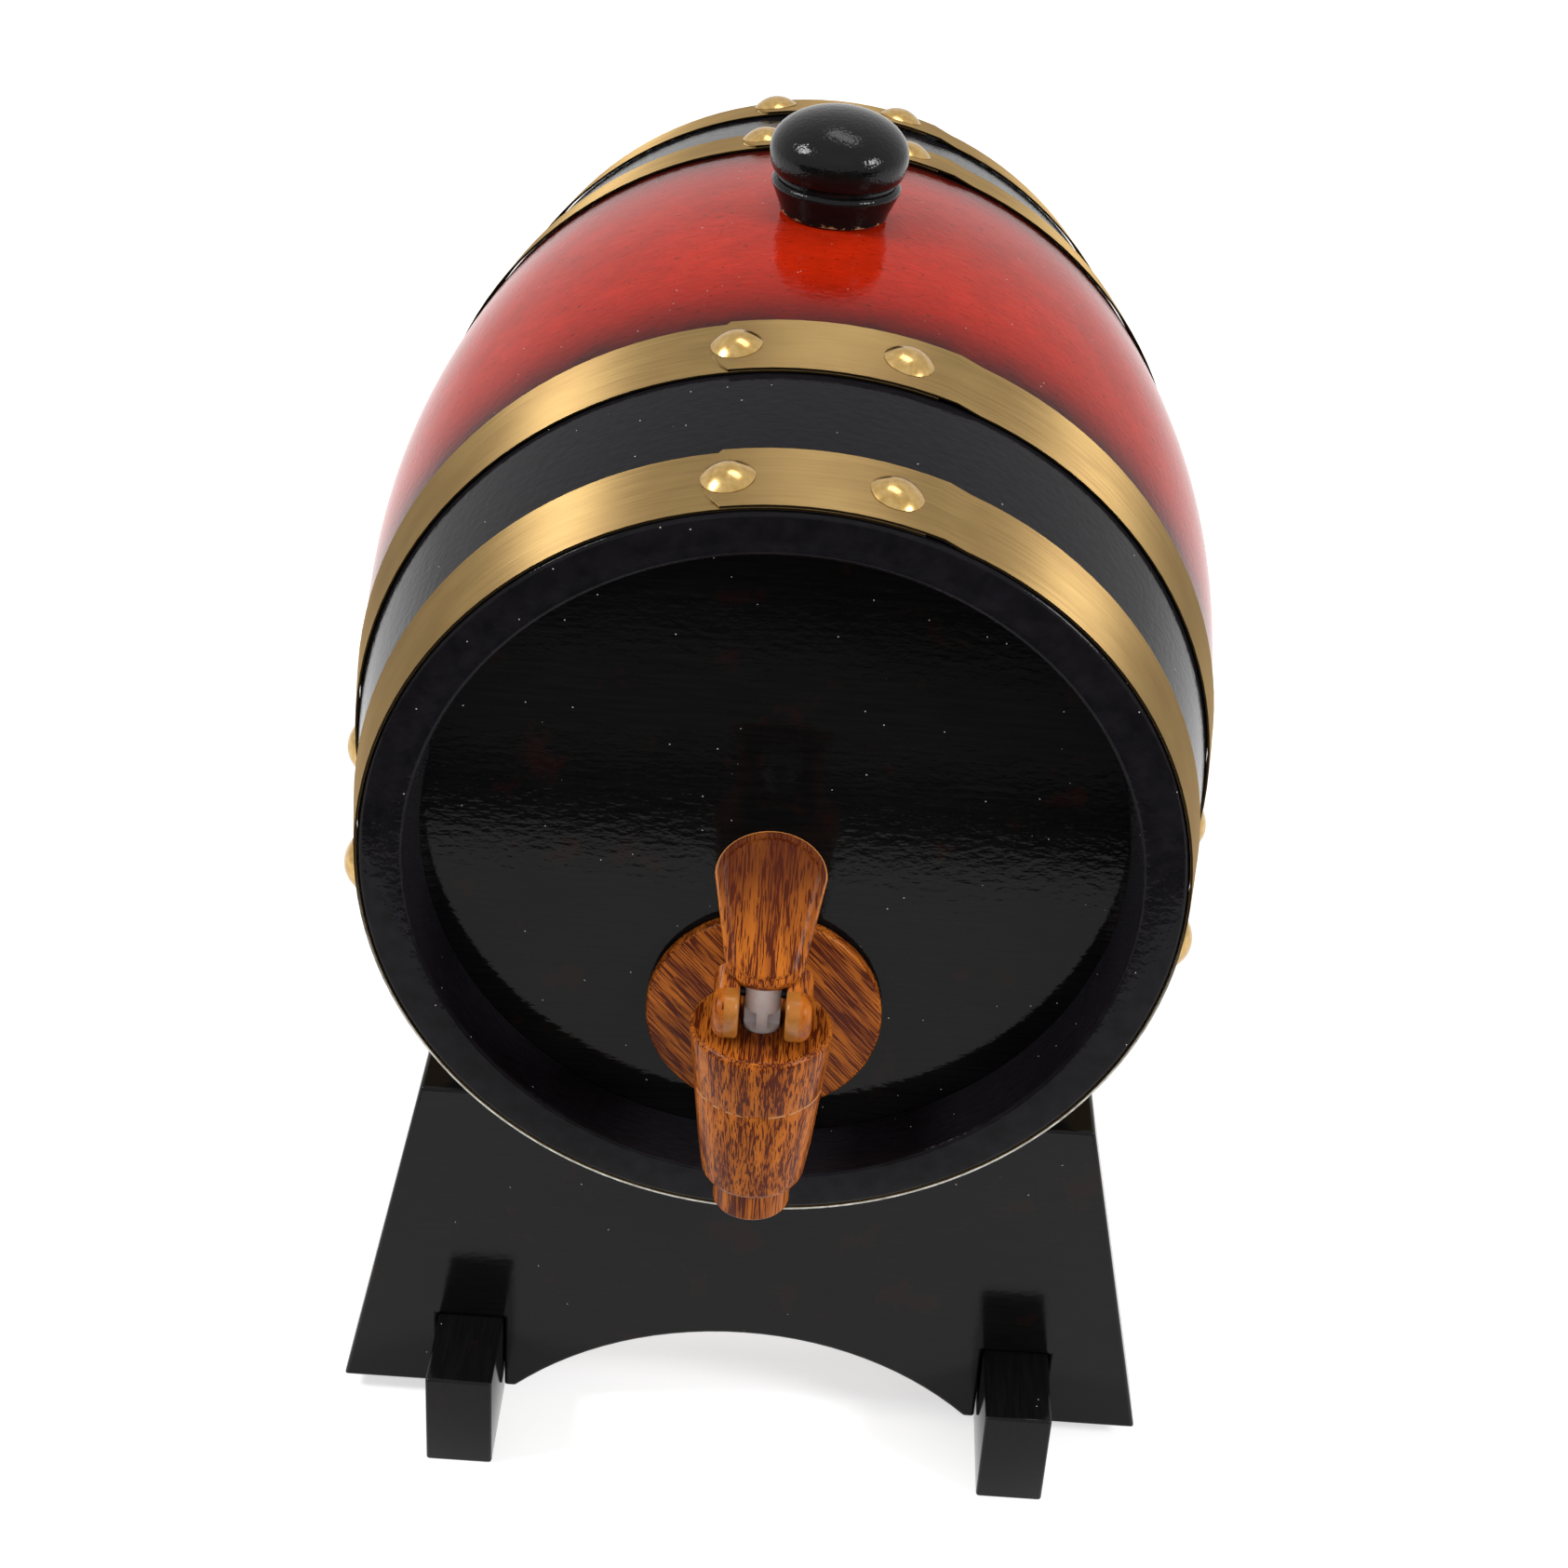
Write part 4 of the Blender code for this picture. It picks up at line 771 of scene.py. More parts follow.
cradle_radius = cask_radius(PANEL_FRONTS["front"] + PANEL_THICKNESS - CASK_FRONT.y) + CLEAR
cradle_half = math.acos((CASK_FRONT.z - PANEL_SHOULDER[1]) / cradle_radius)
cradle = arc((0, CASK_FRONT.z), (cradle_radius, cradle_radius),
             cradle_half - QUARTER_TURN, -cradle_half - QUARTER_TURN, CRADLE_STEPS)
slot_inner = BAR_ACROSS - BAR_WIDTH / 2 - CLEAR
slot_outer = BAR_ACROSS + BAR_WIDTH / 2 + CLEAR
arch_half = slot_inner - ARCH_LAND
arch_radius = (arch_half ** 2 + ARCH_RISE ** 2) / (2 * ARCH_RISE)
arch_angle = math.asin(arch_half / arch_radius)
arch = arc((0, PANEL_FOOT[1] + ARCH_RISE - arch_radius), (arch_radius, arch_radius),
           QUARTER_TURN + arch_angle, QUARTER_TURN - arch_angle, ARCH_STEPS)
slot = [(slot_inner, PANEL_FOOT[1]), (slot_inner, BAR_HEIGHT + CLEAR),
        (slot_outer, BAR_HEIGHT + CLEAR), (slot_outer, PANEL_FOOT[1])]
right_side = [PANEL_FOOT, PANEL_SHOULDER]
panel_line = [(-x, z) for x, z in reversed(slot)] + arch + slot + right_side + cradle
panel_line += [(-x, z) for x, z in reversed(right_side)]
stand = []
for end, front in PANEL_FRONTS.items():
    panel = draw(f"{end}_cradle", [(x, front, z) for x, z in panel_line], closed=True)
    push(panel, (0, PANEL_THICKNESS, 0))
    soften(panel, STAND_ROUND)
    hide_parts(f"{end}_stand_panel")
    stand.append(panel)
for name, side in (("left", -1), ("right", 1)):
    middle = (side * BAR_ACROSS, CASK_FRONT.y + CASK_LENGTH / 2, BAR_HEIGHT / 2)
    bpy.ops.object.select_all(action="DESELECT")
    bpy.ops.mesh.primitive_cube_add(size=1, location=middle)
    bar = bpy.context.object
    bar.name = f"{name}_long_bar"
    bar.scale = (BAR_WIDTH, CASK_LENGTH, BAR_HEIGHT)
    bpy.ops.object.transform_apply(location=True, rotation=True, scale=True)
    soften(bar, STAND_ROUND)
    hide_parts(f"{name}_stand_bar")
    stand.append(bar)
for piece in stand:
    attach(piece, "cask")
    print(piece.name, "faces:", faces_of(piece), "volume, cm3:", round(volume(piece) * 1e6, 1))

# %% [markdown]
# Now the finishes. Colours are written as the hex values one reads off a photograph and turned to
# the linear values that the shader works with. One helper adds any node, sets its options, gives
# its inputs and links the ones that come from other nodes, so each finish reads top to bottom.

# %% Helpers for the finishes


def linear(code):
    """An sRGB hex colour as linear RGBA."""
    parts = [int(code[place:place + 2], 16) / 255 for place in (1, 3, 5)]
    return tuple(c / 12.92 if c <= 0.04045 else ((c + 0.055) / 1.055) ** 2.4 for c in parts) + (1,)


def add(tree, kind, inputs=None, stops=None, **options):
    """Add a node with its options, inputs (values, hex colours, sockets to link) and ramp stops."""
    made = tree.nodes.new("ShaderNode" + kind)
    for key, value in options.items():
        setattr(made, key, value)
    for key, value in (inputs or {}).items():
        if isinstance(value, bpy.types.NodeSocket):
            tree.links.new(value, made.inputs[key])
        else:
            made.inputs[key].default_value = linear(value) if isinstance(value, str) else value
    if stops:
        elements = made.color_ramp.elements
        while len(elements) < len(stops):
            elements.new(0.5)
        for element, (place, colour) in zip(elements, stops):
            element.position = place
            element.color = linear(colour) if isinstance(colour, str) else (colour,) * 3 + (1,)
    return made


def finish(name, **settings):
    """A new Principled material, its constant sockets set by name, with its tree and shader."""
    material = bpy.data.materials.new(name)
    material.use_nodes = True
    shader = material.node_tree.nodes["Principled BSDF"]
    for key, value in settings.items():
        shader.inputs[key.replace("_", " ")].default_value = value
    return material, material.node_tree, shader


def join(tree, source, shader, socket):
    tree.links.new(source, shader.inputs[socket])


def pattern(tree, cell, turn=(0, 0, 0), centre=(0, 0, 0)):
    """Object coordinates counted in cells of a size in metres, turned about a centre."""
    if isinstance(cell, float):
        cell = (cell, cell, cell)
    place = add(tree, "TexCoord").outputs["Object"]
    return add(tree, "Mapping", {"Vector": place, "Location": centre, "Rotation": turn,
                                 "Scale": cell}, vector_type="TEXTURE").outputs["Vector"]


def put_on(material, *pieces):
    for piece in pieces:
        if piece.material_slots:
            piece.material_slots[0].material = material
        else:
            piece.data.materials.append(material)


def mottled(name, dark, pale, cell, detail=3.0, bump=0.1, dull=None, **settings):
    """A finish of two close tones, mottled in cells of a size, with a bump and a dull range."""
    material, tree, shader = finish(name, **settings)
    spot_at = pattern(tree, cell)
    spot = add(tree, "TexNoise", {"Vector": spot_at, "Scale": 1.0, "Detail": detail}).outputs["Fac"]
    tone = add(tree, "ValToRGB", {"Fac": spot}, stops=[(0.3, dark), (0.7, pale)])
    join(tree, tone.outputs["Color"], shader, "Base Color")
    if dull:
        level = add(tree, "MapRange", {"Value": spot, "To Min": dull[0], "To Max": dull[1]})
        join(tree, level.outputs[0], shader, "Roughness")
    if bump:
        skin = add(tree, "Bump", {"Height": spot, "Strength": bump, "Distance": 0.1 * MM})
        join(tree, skin.outputs["Normal"], shader, "Normal")
    return material


# A Mix node that blends colours takes them as inputs 6 and 7 and gives output 2.
BLEND = {"data_type": "RGBA"}
TINT = {"data_type": "RGBA", "blend_type": "MULTIPLY"}
print("mid grey, linear:", round(linear("#808080")[0], 3))

# %% [markdown]
# The middle of the cask is stained orange-red and sprayed darker towards the hoops, then lacquered:
# a sunburst, as on a guitar. The colour follows the distance from the cask's middle, pushed about
# by noise so the spray has no hard edge. Faint marks run round the cask, where it was sanded. A
# clear coat over a dull base gives the eye a sharp reflection over a deep colour. Its IOR is below
# that of real lacquer, because this studio is white all round and the real one was half dark.

# %% Lacquered oak of the staves
CASK_MIDDLE = CASK_FRONT + Vector((0, CASK_LENGTH / 2, 0))
RED_HALF = 51 * MM
DUST_SPACING = 3 * MM
DUST_RADIUS = 0.14 * MM


def dusted(tree, colour, share):
    """The colour with tiny pale dust specks in a share of the cells of a Voronoi pattern."""
    place = pattern(tree, DUST_SPACING)
    cells = add(tree, "TexVoronoi", {"Vector": place, "Scale": 1.0})
    near = add(tree, "Math", {0: cells.outputs["Distance"], 1: DUST_RADIUS / DUST_SPACING},
               operation="LESS_THAN").outputs[0]
    lot = add(tree, "SeparateColor", {0: cells.outputs["Color"]}).outputs[0]
    chosen = add(tree, "Math", {0: lot, 1: share}, operation="LESS_THAN").outputs[0]
    dust = add(tree, "Math", {0: near, 1: chosen}, operation="MULTIPLY").outputs[0]
    return add(tree, "Mix", {0: dust, 6: colour, 7: "#B8B4AC"}, **BLEND).outputs[2]


oak, tree, shader = finish("sunburst_lacquered_oak", Roughness=0.5, Coat_Weight=0.75,
                           Coat_Roughness=0.06, Coat_IOR=1.19, Specular_IOR_Level=0.0)
sanding_at = pattern(tree, (3.2 * MM, 0.35 * MM, 3.2 * MM))
sanding = add(tree, "TexNoise", {"Vector": sanding_at, "Scale": 1.0, "Detail": 4.0}).outputs["Fac"]
cloud_at = pattern(tree, 9 * MM)
cloud = add(tree, "TexNoise", {"Vector": cloud_at, "Scale": 1.0, "Detail": 3.0}).outputs["Fac"]
pore_at = pattern(tree, (1.3 * MM, 0.8 * MM, 1.3 * MM))
pore = add(tree, "TexNoise", {"Vector": pore_at, "Scale": 1.0, "Detail": 2.0}).outputs["Fac"]
away_at = pattern(tree, RED_HALF, centre=CASK_MIDDLE)
away = add(tree, "SeparateXYZ", {0: away_at}).outputs["Y"]
away = add(tree, "Math", {0: away}, operation="ABSOLUTE").outputs[0]
waver = add(tree, "MapRange", {"Value": cloud, "From Min": 0.3, "From Max": 0.7,
                               "To Min": -0.035, "To Max": 0.03}).outputs[0]
spray = add(tree, "Math", {0: away, 1: waver}, operation="ADD").outputs[0]
burst = add(tree, "ValToRGB", {"Fac": spray}, stops=[
    (0.0, "#AE2208"), (0.50, "#AC2108"), (0.70, "#961A07"), (0.84, "#701208"),
    (0.94, "#42100B"), (1.03, "#1E0B0A")]).outputs["Color"]
streak = add(tree, "ValToRGB", {"Fac": sanding}, stops=[(0.36, 0.84), (0.62, 1.08)])
burst = add(tree, "Mix", {0: 1.0, 6: burst, 7: streak.outputs["Color"]}, **TINT).outputs[2]
mottle = add(tree, "ValToRGB", {"Fac": cloud}, stops=[(0.36, 0.84), (0.66, 1.0)])
burst = add(tree, "Mix", {0: 1.0, 6: burst, 7: mottle.outputs["Color"]}, **TINT).outputs[2]
dot = add(tree, "ValToRGB", {"Fac": pore}, stops=[(0.27, 0.35), (0.34, 1.0)])
burst = add(tree, "Mix", {0: 1.0, 6: burst, 7: dot.outputs["Color"]}, **TINT).outputs[2]
is_band = add(tree, "Math", {0: away, 1: 1.08}, operation="GREATER_THAN").outputs[0]
band = add(tree, "ValToRGB", {"Fac": sanding}, stops=[(0.3, "#111012"), (0.75, "#1B191D")])
stained = add(tree, "Mix", {0: is_band, 6: burst, 7: band.outputs["Color"]}, **BLEND).outputs[2]
join(tree, dusted(tree, stained, 0.35), shader, "Base Color")
peel_at = pattern(tree, 1.6 * MM)
peel = add(tree, "TexNoise", {"Vector": peel_at, "Scale": 1.0, "Detail": 2.0}).outputs["Fac"]
wave = add(tree, "Math", {0: sanding, 1: 0.3, 2: peel}, operation="MULTIPLY_ADD").outputs[0]
bump = add(tree, "Bump", {"Height": wave, "Strength": 0.4, "Distance": 0.15 * MM})
join(tree, bump.outputs["Normal"], shader, "Normal")
join(tree, bump.outputs["Normal"], shader, "Coat Normal")
put_on(oak, shell)
print("oak nodes:", len(tree.nodes))

# %% [markdown]
# The heads, the stand and the bung are the same oak under black lacquer. Thin lacquer lets a little
# of the grain through and dries with a faint orange peel, which breaks up the reflections. Dust
# that settled on the level and upright faces shows as a few tiny pale specks.

# %% Black lacquers


def black_lacquer(name, along, dusty, coat_roughness, peel_size, peel_strength, coat_ior=1.25):
    """Black lacquer over wood whose grain runs along x, y or z, with a share of dust specks."""
    material, tree, shader = finish(name, Roughness=0.5, Coat_Weight=1.0, Coat_IOR=coat_ior,
                                    Coat_Roughness=coat_roughness, Specular_IOR_Level=0.0)
    cell = [12 * MM if axis == along else 0.7 * MM for axis in "xyz"]
    grain = add(tree, "TexNoise", {"Vector": pattern(tree, cell), "Scale": 1.0, "Detail": 4.0})
    grain = grain.outputs["Fac"]
    tone = add(tree, "ValToRGB", {"Fac": grain}, stops=[(0.35, "#0B0B0C"), (0.7, "#111111")])
    thin_at = pattern(tree, 11 * MM)
    thin = add(tree, "TexNoise", {"Vector": thin_at, "Scale": 1.0, "Detail": 4.0}).outputs["Fac"]
    thin = add(tree, "ValToRGB", {"Fac": thin}, stops=[(0.62, 0.0), (0.70, 0.8)])
    colour = add(tree, "Mix", {0: thin.outputs["Color"], 6: tone.outputs["Color"],
                               7: "#1E0F0D"}, **BLEND).outputs[2]
    colour = dusted(tree, colour, dusty)
    join(tree, colour, shader, "Base Color")
    peel = add(tree, "TexNoise", {"Vector": pattern(tree, peel_size), "Scale": 1.0, "Detail": 2.0})
    height = add(tree, "Math", {0: grain, 1: 0.15, 2: peel.outputs["Fac"]},
                 operation="MULTIPLY_ADD").outputs[0]
    bump = add(tree, "Bump", {"Height": height, "Strength": peel_strength, "Distance": 0.15 * MM})
    join(tree, bump.outputs["Normal"], shader, "Normal")
    join(tree, bump.outputs["Normal"], shader, "Coat Normal")
    return material, tree, shader, colour


flat_peel = (2.4 * MM, 1.2 * MM, 1.2 * MM)
fine_peel = 0.7 * MM
head_black = black_lacquer("black_lacquered_head", "x", 0.5, 0.07, flat_peel, 0.2, 1.22)[0]
stand_black = black_lacquer("black_lacquered_stand", "x", 0.25, 0.13, flat_peel, 0.12)[0]
bar_black = black_lacquer("black_lacquered_bar", "y", 0.25, 0.13, flat_peel, 0.12)[0]
put_on(head_black, nodes["front_head"], nodes["rear_head"])
put_on(stand_black, stand[0], stand[1])
put_on(bar_black, stand[2], stand[3])

bung_black, tree, shader, black = black_lacquer("black_lacquered_bung", "x", 0.1, 0.08,
                                                fine_peel, 0.6, coat_ior=1.27)
turn_in = frame_on(bung_seat, bung_axis).to_euler()
height_at = pattern(tree, MM, turn=turn_in, centre=bung_seat)
height = add(tree, "SeparateXYZ", {0: height_at}).outputs["Z"]
rag_at = pattern(tree, 2.5 * MM)
rag = add(tree, "TexNoise", {"Vector": rag_at, "Scale": 1.0, "Detail": 5.0}).outputs["Fac"]
rag = add(tree, "MapRange", {"Value": rag, "From Min": 0.35, "From Max": 0.65,
                             "To Min": 1.0, "To Max": -0.4}).outputs[0]
height = add(tree, "Math", {0: height, 1: rag}, operation="ADD").outputs[0]
worn = add(tree, "MapRange", {"Value": height, "From Min": 0.45, "From Max": 0.75,
                              "To Min": 1.0, "To Max": 0.0}).outputs[0]
ringed = add(tree, "Mix", {0: worn, 6: black, 7: "#8E6A48"}, **BLEND).outputs[2]
join(tree, ringed, shader, "Base Color")
put_on(bung_black, bung)
print("black finishes:", head_black.name, stand_black.name, bung_black.name)

# %% [markdown]
# The hoops are cut from rolled brass sheet brushed along its length. A metal's colour is the colour
# of its reflection, so the base colour is the brass itself. The brush marks are noise stretched
# round the hoop and very narrow across it, in the bump, the roughness and a little in the colour.
# The sheared edges are a second material with painted light: painted shade makes them dark high
# on the cask, and a painted highlight makes them pale and bright below the middle.

# %% Brass
brushed, tree, shader = finish("brushed_brass", Metallic=1.0, Roughness=0.44, Anisotropic=0.95,
                               Specular_Tint=linear("#C8C6C8"))
# Real brush marks are too fine to show from here, so these are drawn four times as wide.
brush_at = pattern(tree, (16 * MM, 0.5 * MM, 16 * MM))
brush = add(tree, "TexNoise", {"Vector": brush_at, "Scale": 1.0, "Detail": 3.0}).outputs["Fac"]
tarnish_at = pattern(tree, (18 * MM, 9 * MM, 18 * MM))
tarnish = add(tree, "TexNoise", {"Vector": tarnish_at, "Scale": 1.0, "Detail": 3.0}).outputs["Fac"]
tint = add(tree, "ValToRGB", {"Fac": tarnish}, stops=[(0.3, "#9C8054"), (0.7, "#A98D5C")])
lines = add(tree, "ValToRGB", {"Fac": brush}, stops=[(0.3, 0.80), (0.7, 1.0)])
tint = add(tree, "Mix", {0: 1.0, 6: tint.outputs["Color"], 7: lines.outputs["Color"]},
           **TINT).outputs[2]
join(tree, tint, shader, "Base Color")
dull = add(tree, "MapRange", {"Value": brush, "To Min": 0.38, "To Max": 0.58}).outputs[0]
join(tree, dull, shader, "Roughness")
# Brushing round the hoop spreads reflections across it, which is the Y direction.
spread = add(tree, "CombineXYZ", {"Y": 1.0}).outputs["Vector"]
join(tree, spread, shader, "Tangent")
bump = add(tree, "Bump", {"Height": brush, "Strength": 0.2, "Distance": 0.05 * MM})
join(tree, bump.outputs["Normal"], shader, "Normal")
put_on(brushed, *hoops.values())

# Painted light on the hoops' edges: painted shade above the upper height, a painted silver
# highlight below the lower one.
EDGE_HIGHLIGHT_BELOW = 110 * MM
EDGE_SHADE_ABOVE = 150 * MM
sheared, tree, shader = finish("sheared_brass_edge_painted_light", Metallic=1.0, Roughness=0.35)
nick_at = pattern(tree, (1.5 * MM, 0.4 * MM, 1.5 * MM))
nick = add(tree, "TexNoise", {"Vector": nick_at, "Scale": 1.0, "Detail": 3.0}).outputs["Fac"]
height_at = pattern(tree, MM)
height = add(tree, "SeparateXYZ", {0: height_at}).outputs["Z"]
# The pale silver ramp is a painted highlight, and the dark brown mixed in above is painted shade.
painted_edge_shade = add(tree, "MapRange", {"Value": height, "From Min": EDGE_HIGHLIGHT_BELOW / MM,
                               "From Max": EDGE_SHADE_ABOVE / MM}).outputs[0]
painted_edge_highlight = add(tree, "ValToRGB", {"Fac": nick}, stops=[(0.3, "#8F8D86"), (0.7, "#C4C2BA")])
edge = add(tree, "Mix", {0: painted_edge_shade, 6: painted_edge_highlight.outputs["Color"], 7: "#33291A"}, **BLEND).outputs[2]
join(tree, edge, shader, "Base Color")
for strip in hoops.values():
    strip.data.materials.append(sheared)
    for face in strip.data.polygons:
        if abs(face.normal.y) > 0.8:
            face.material_index = 1

polished = mottled("polished_brass", "#AC8A50", "#C6A66C", 1.4 * MM, detail=4.0, bump=0.05,
                   dull=(0.16, 0.24), Metallic=1.0, Roughness=0.2)
put_on(polished, *nails)
print("brass:", brushed.name, polished.name)

# %% [markdown]
# The tap is ABS moulded in ochre and printed to look like wood: short, dark red-brown dashes lie
# along the grain, close together in broad darker bands. Noise stretched into long thin cells and
# cut off sharply gives the dashes. The print runs upright on the barrel and along the paddle, but
# slantwise on the flange, so the same finish is made with several turns.

# %% Woodgrain ABS


def woodgrain(name, turn, centre, dash_length, inked=0.0):
    """Printed woodgrain on ABS: its turned Z axis is the grain, its dashes are so many mm long."""
    material, tree, shader = finish(name, Roughness=0.34, Specular_IOR_Level=0.1)
    dash_at = pattern(tree, (0.28 * MM, 0.28 * MM, dash_length * MM), turn, centre)
    dash = add(tree, "TexNoise", {"Vector": dash_at, "Scale": 1.0, "Detail": 2.5,
                                  "Roughness": 0.5}).outputs["Fac"]
    band_at = pattern(tree, (2.2 * MM, 2.2 * MM, 24 * MM), turn, centre)
    band = add(tree, "TexNoise", {"Vector": band_at, "Scale": 1.0, "Detail": 2.0}).outputs["Fac"]
    level = add(tree, "MapRange", {"Value": band, "From Min": 0.38, "From Max": 0.68,
                                   "To Min": inked - 0.06, "To Max": inked + 0.07}).outputs[0]
    ink = add(tree, "Math", {0: dash, 1: level}, operation="ADD").outputs[0]
    base = add(tree, "ValToRGB", {"Fac": band}, stops=[(0.35, "#B4641F"), (0.65, "#8E4815")])
    share = add(tree, "ValToRGB", {"Fac": ink}, stops=[(0.50, 0.0), (0.54, 0.95)])
    printed = add(tree, "Mix", {0: share.outputs["Color"], 6: base.outputs["Color"],
                                7: "#4A190A"}, **BLEND).outputs[2]
    join(tree, printed, shader, "Base Color")
    skin_at = pattern(tree, 1.5 * MM)
    skin = add(tree, "TexNoise", {"Vector": skin_at, "Scale": 1.0, "Detail": 3.0}).outputs["Fac"]
    dull = add(tree, "MapRange", {"Value": skin, "To Min": 0.24, "To Max": 0.40}).outputs[0]
    join(tree, dull, shader, "Roughness")
    bump = add(tree, "Bump", {"Height": skin, "Strength": 0.08, "Distance": 0.1 * MM})
    join(tree, bump.outputs["Normal"], shader, "Normal")
    return material, tree, shader, printed


def paint_faces(piece, material, wanted):
    """Give a piece a further material on the faces that pass a test, and count them."""
    piece.data.materials.append(material)
    chosen = [face for face in piece.data.polygons if wanted(face)]
    for face in chosen:
        face.material_index = len(piece.data.materials) - 1
    return len(chosen)


WORN_SEAM = 0.2
upright_grain, tree, shader, printed = woodgrain("woodgrain_abs_upright", (0, 0, 0), TAP, 8.0,
                                                 0.01)
height_at = pattern(tree, MM, centre=TAP + Vector((0, 0, BONNET_BOTTOM)))
height = add(tree, "SeparateXYZ", {0: height_at}).outputs["Z"]
close = add(tree, "Math", {0: height, 1: 0.0, 2: WORN_SEAM}, operation="COMPARE").outputs[0]
patch_at = pattern(tree, 2 * MM)
patch = add(tree, "TexNoise", {"Vector": patch_at, "Scale": 1.0, "Detail": 3.0}).outputs["Fac"]
patch = add(tree, "Math", {0: patch, 1: 0.47}, operation="GREATER_THAN").outputs[0]
worn = add(tree, "Math", {0: close, 1: patch}, operation="MULTIPLY").outputs[0]
seamed = add(tree, "Mix", {0: worn, 6: printed, 7: "#C08A5A"}, **BLEND).outputs[2]
join(tree, seamed, shader, "Base Color")
level_grain = woodgrain("woodgrain_abs_level", (QUARTER_TURN, 0, 0), TAP, 5.0, 0.02)[0]
slant_grain = woodgrain("woodgrain_abs_slant", (0, math.radians(-42), 0), flange_start, 9.0,
                        0.02)[0]
paddle_turn = (PADDLE_TILT - QUARTER_TURN, 0, 0)
paddle_grain, tree, shader, printed = woodgrain("woodgrain_abs_paddle", paddle_turn, PIN, 4.5)
cheek_grain = woodgrain("woodgrain_abs_cheek", (-QUARTER_TURN / 2, 0, 0), PIN, 8.0, -0.1)[0]
put_on(upright_grain, tap_body, tap_bonnet)
put_on(slant_grain, tap_flange)
put_on(paddle_grain, lever)
print("level faces:", paint_faces(tap_bonnet, level_grain, lambda face: face.normal.z > 0.8))

# %% [markdown]
# On the paddle, the raised rim took more ink than the dish inside it, most of all round the top,
# and the slope between them has a painted pale highlight. Both are masks by the height over the
# paddle.

# %% Ink and a painted highlight on the paddle
# Each layer's lowest and highest place in mm over the rim's face, and its colour.
# The first layer is the rim's extra ink. The second is a painted highlight on the slope of the
# dish.
RIM_INK_AND_SLOPE_HIGHLIGHT = ((-0.12, 1, "#3E150A"), (-0.40, -0.14, "#C98A50"))
INK_AND_HIGHLIGHT_SHARE = 0.75
INK_AND_HIGHLIGHT_FROM, INK_AND_HIGHLIGHT_FULL = 6.0, 20.0
UNDER_PADDLE = 0.2 * MM

on_paddle = add(tree, "SeparateXYZ", {0: pattern(tree, MM, paddle_turn, PIN)}).outputs
out = add(tree, "Math", {0: on_paddle["Y"], 1: -1.0}, operation="MULTIPLY").outputs[0]
rim_level = PADDLE_STAND_OFF / MM
near_top = add(tree, "MapRange", {"Value": on_paddle["Z"], "From Min": INK_AND_HIGHLIGHT_FROM,
                                  "From Max": INK_AND_HIGHLIGHT_FULL}).outputs[0]
for low, high, colour in RIM_INK_AND_SLOPE_HIGHLIGHT:
    middle, reach = rim_level + (low + high) / 2, (high - low) / 2
    inside = add(tree, "Math", {0: out, 1: middle, 2: reach}, operation="COMPARE").outputs[0]
    share = add(tree, "Math", {0: inside, 1: near_top}, operation="MULTIPLY").outputs[0]
    share = add(tree, "Math", {0: share, 1: INK_AND_HIGHLIGHT_SHARE}, operation="MULTIPLY").outputs[0]
    printed = add(tree, "Mix", {0: share, 6: printed, 7: colour}, **BLEND).outputs[2]
join(tree, printed, shader, "Base Color")
out_level = paddle_under - UNDER_PADDLE
along_way = on_lever(0, 1, 0) - on_lever(0, 0, 0)


def on_cheek(face):
    """Whether a face of the lever is under the paddle or in front of its lip."""
    place = face.center - PIN
    return place.dot(out_way) < out_level or place.dot(along_way) < -PADDLE_LIP_DROP - MERGE


cheek_faces = paint_faces(lever, cheek_grain, on_cheek)
print("cheek faces:", cheek_faces)

# %% [markdown]
# The print was put on from outside, so the cheeks kept the plain ochre of the plastic on their
# inner faces and along their cams. These faces are picked by their place and given a material.

# %% Bare ABS inside the cheeks
BARE_PAST = 0.2 * MM

bare = mottled("bare_ochre_abs", "#96581F", "#AE702E", 3 * MM, bump=0, Roughness=0.32,
               Specular_IOR_Level=0.25)
inner_reach = CHEEK_GAP / 2 + CHEEK_THICKNESS - CHEEK_OUTER_ROUND + BARE_PAST
bare_faces = paint_faces(lever, bare, lambda face: abs(face.center.x) < inner_reach
                         and on_cheek(face))
print("bare faces:", bare_faces)

# %% [markdown]
# The small parts keep their CAD shapes, for they sit inside the cask and the tap or under the
# stand. They still get true finishes: pearly acetal, dull nylon, milky silicone and plain steel.

# %% Small parts
fine = 0.8 * MM
acetal = mottled("pearl_white_acetal", "#F1F0F3", "#FBFAFC", fine, Roughness=0.28,
                 Subsurface_Weight=0.15, Subsurface_Scale=0.5 * MM)
nylon = mottled("moulded_black_nylon", "#161616", "#222222", fine, Roughness=0.55)
silicone = mottled("milky_silicone", "#B9B6B0", "#CBC8C2", fine, Roughness=0.6)
steel = mottled("drawn_stainless_steel", "#B9B9BB", "#CFCFD0", (0.1 * MM, 0.1 * MM, 2 * MM),
                Metallic=1.0, Roughness=0.3)
black_steel = mottled("blackened_steel", "#2A2A2C", "#3C3C3E", fine, Metallic=1.0, Roughness=0.4)
put_on(acetal, stem)
put_on(nylon, nodes["shank_nut"])
put_on(silicone, *[nodes[n] for n in ("outer_gasket", "inner_gasket", "seat_washer", "stem_seal")])
put_on(steel, spring, *[n for name, n in nodes.items() if "stand_screw" in name])
put_on(black_steel, nodes["lever_pin"])
print("materials:", len([m for m in bpy.data.materials if m.use_nodes]))

# %% [markdown]
# The photograph was taken on white, from above and in front. The floor and the world are white only
# to the camera and to reflections, while plain light falls on the object from large soft lamps, so
# its colours come out as written. The floor still takes the object's soft shadow.

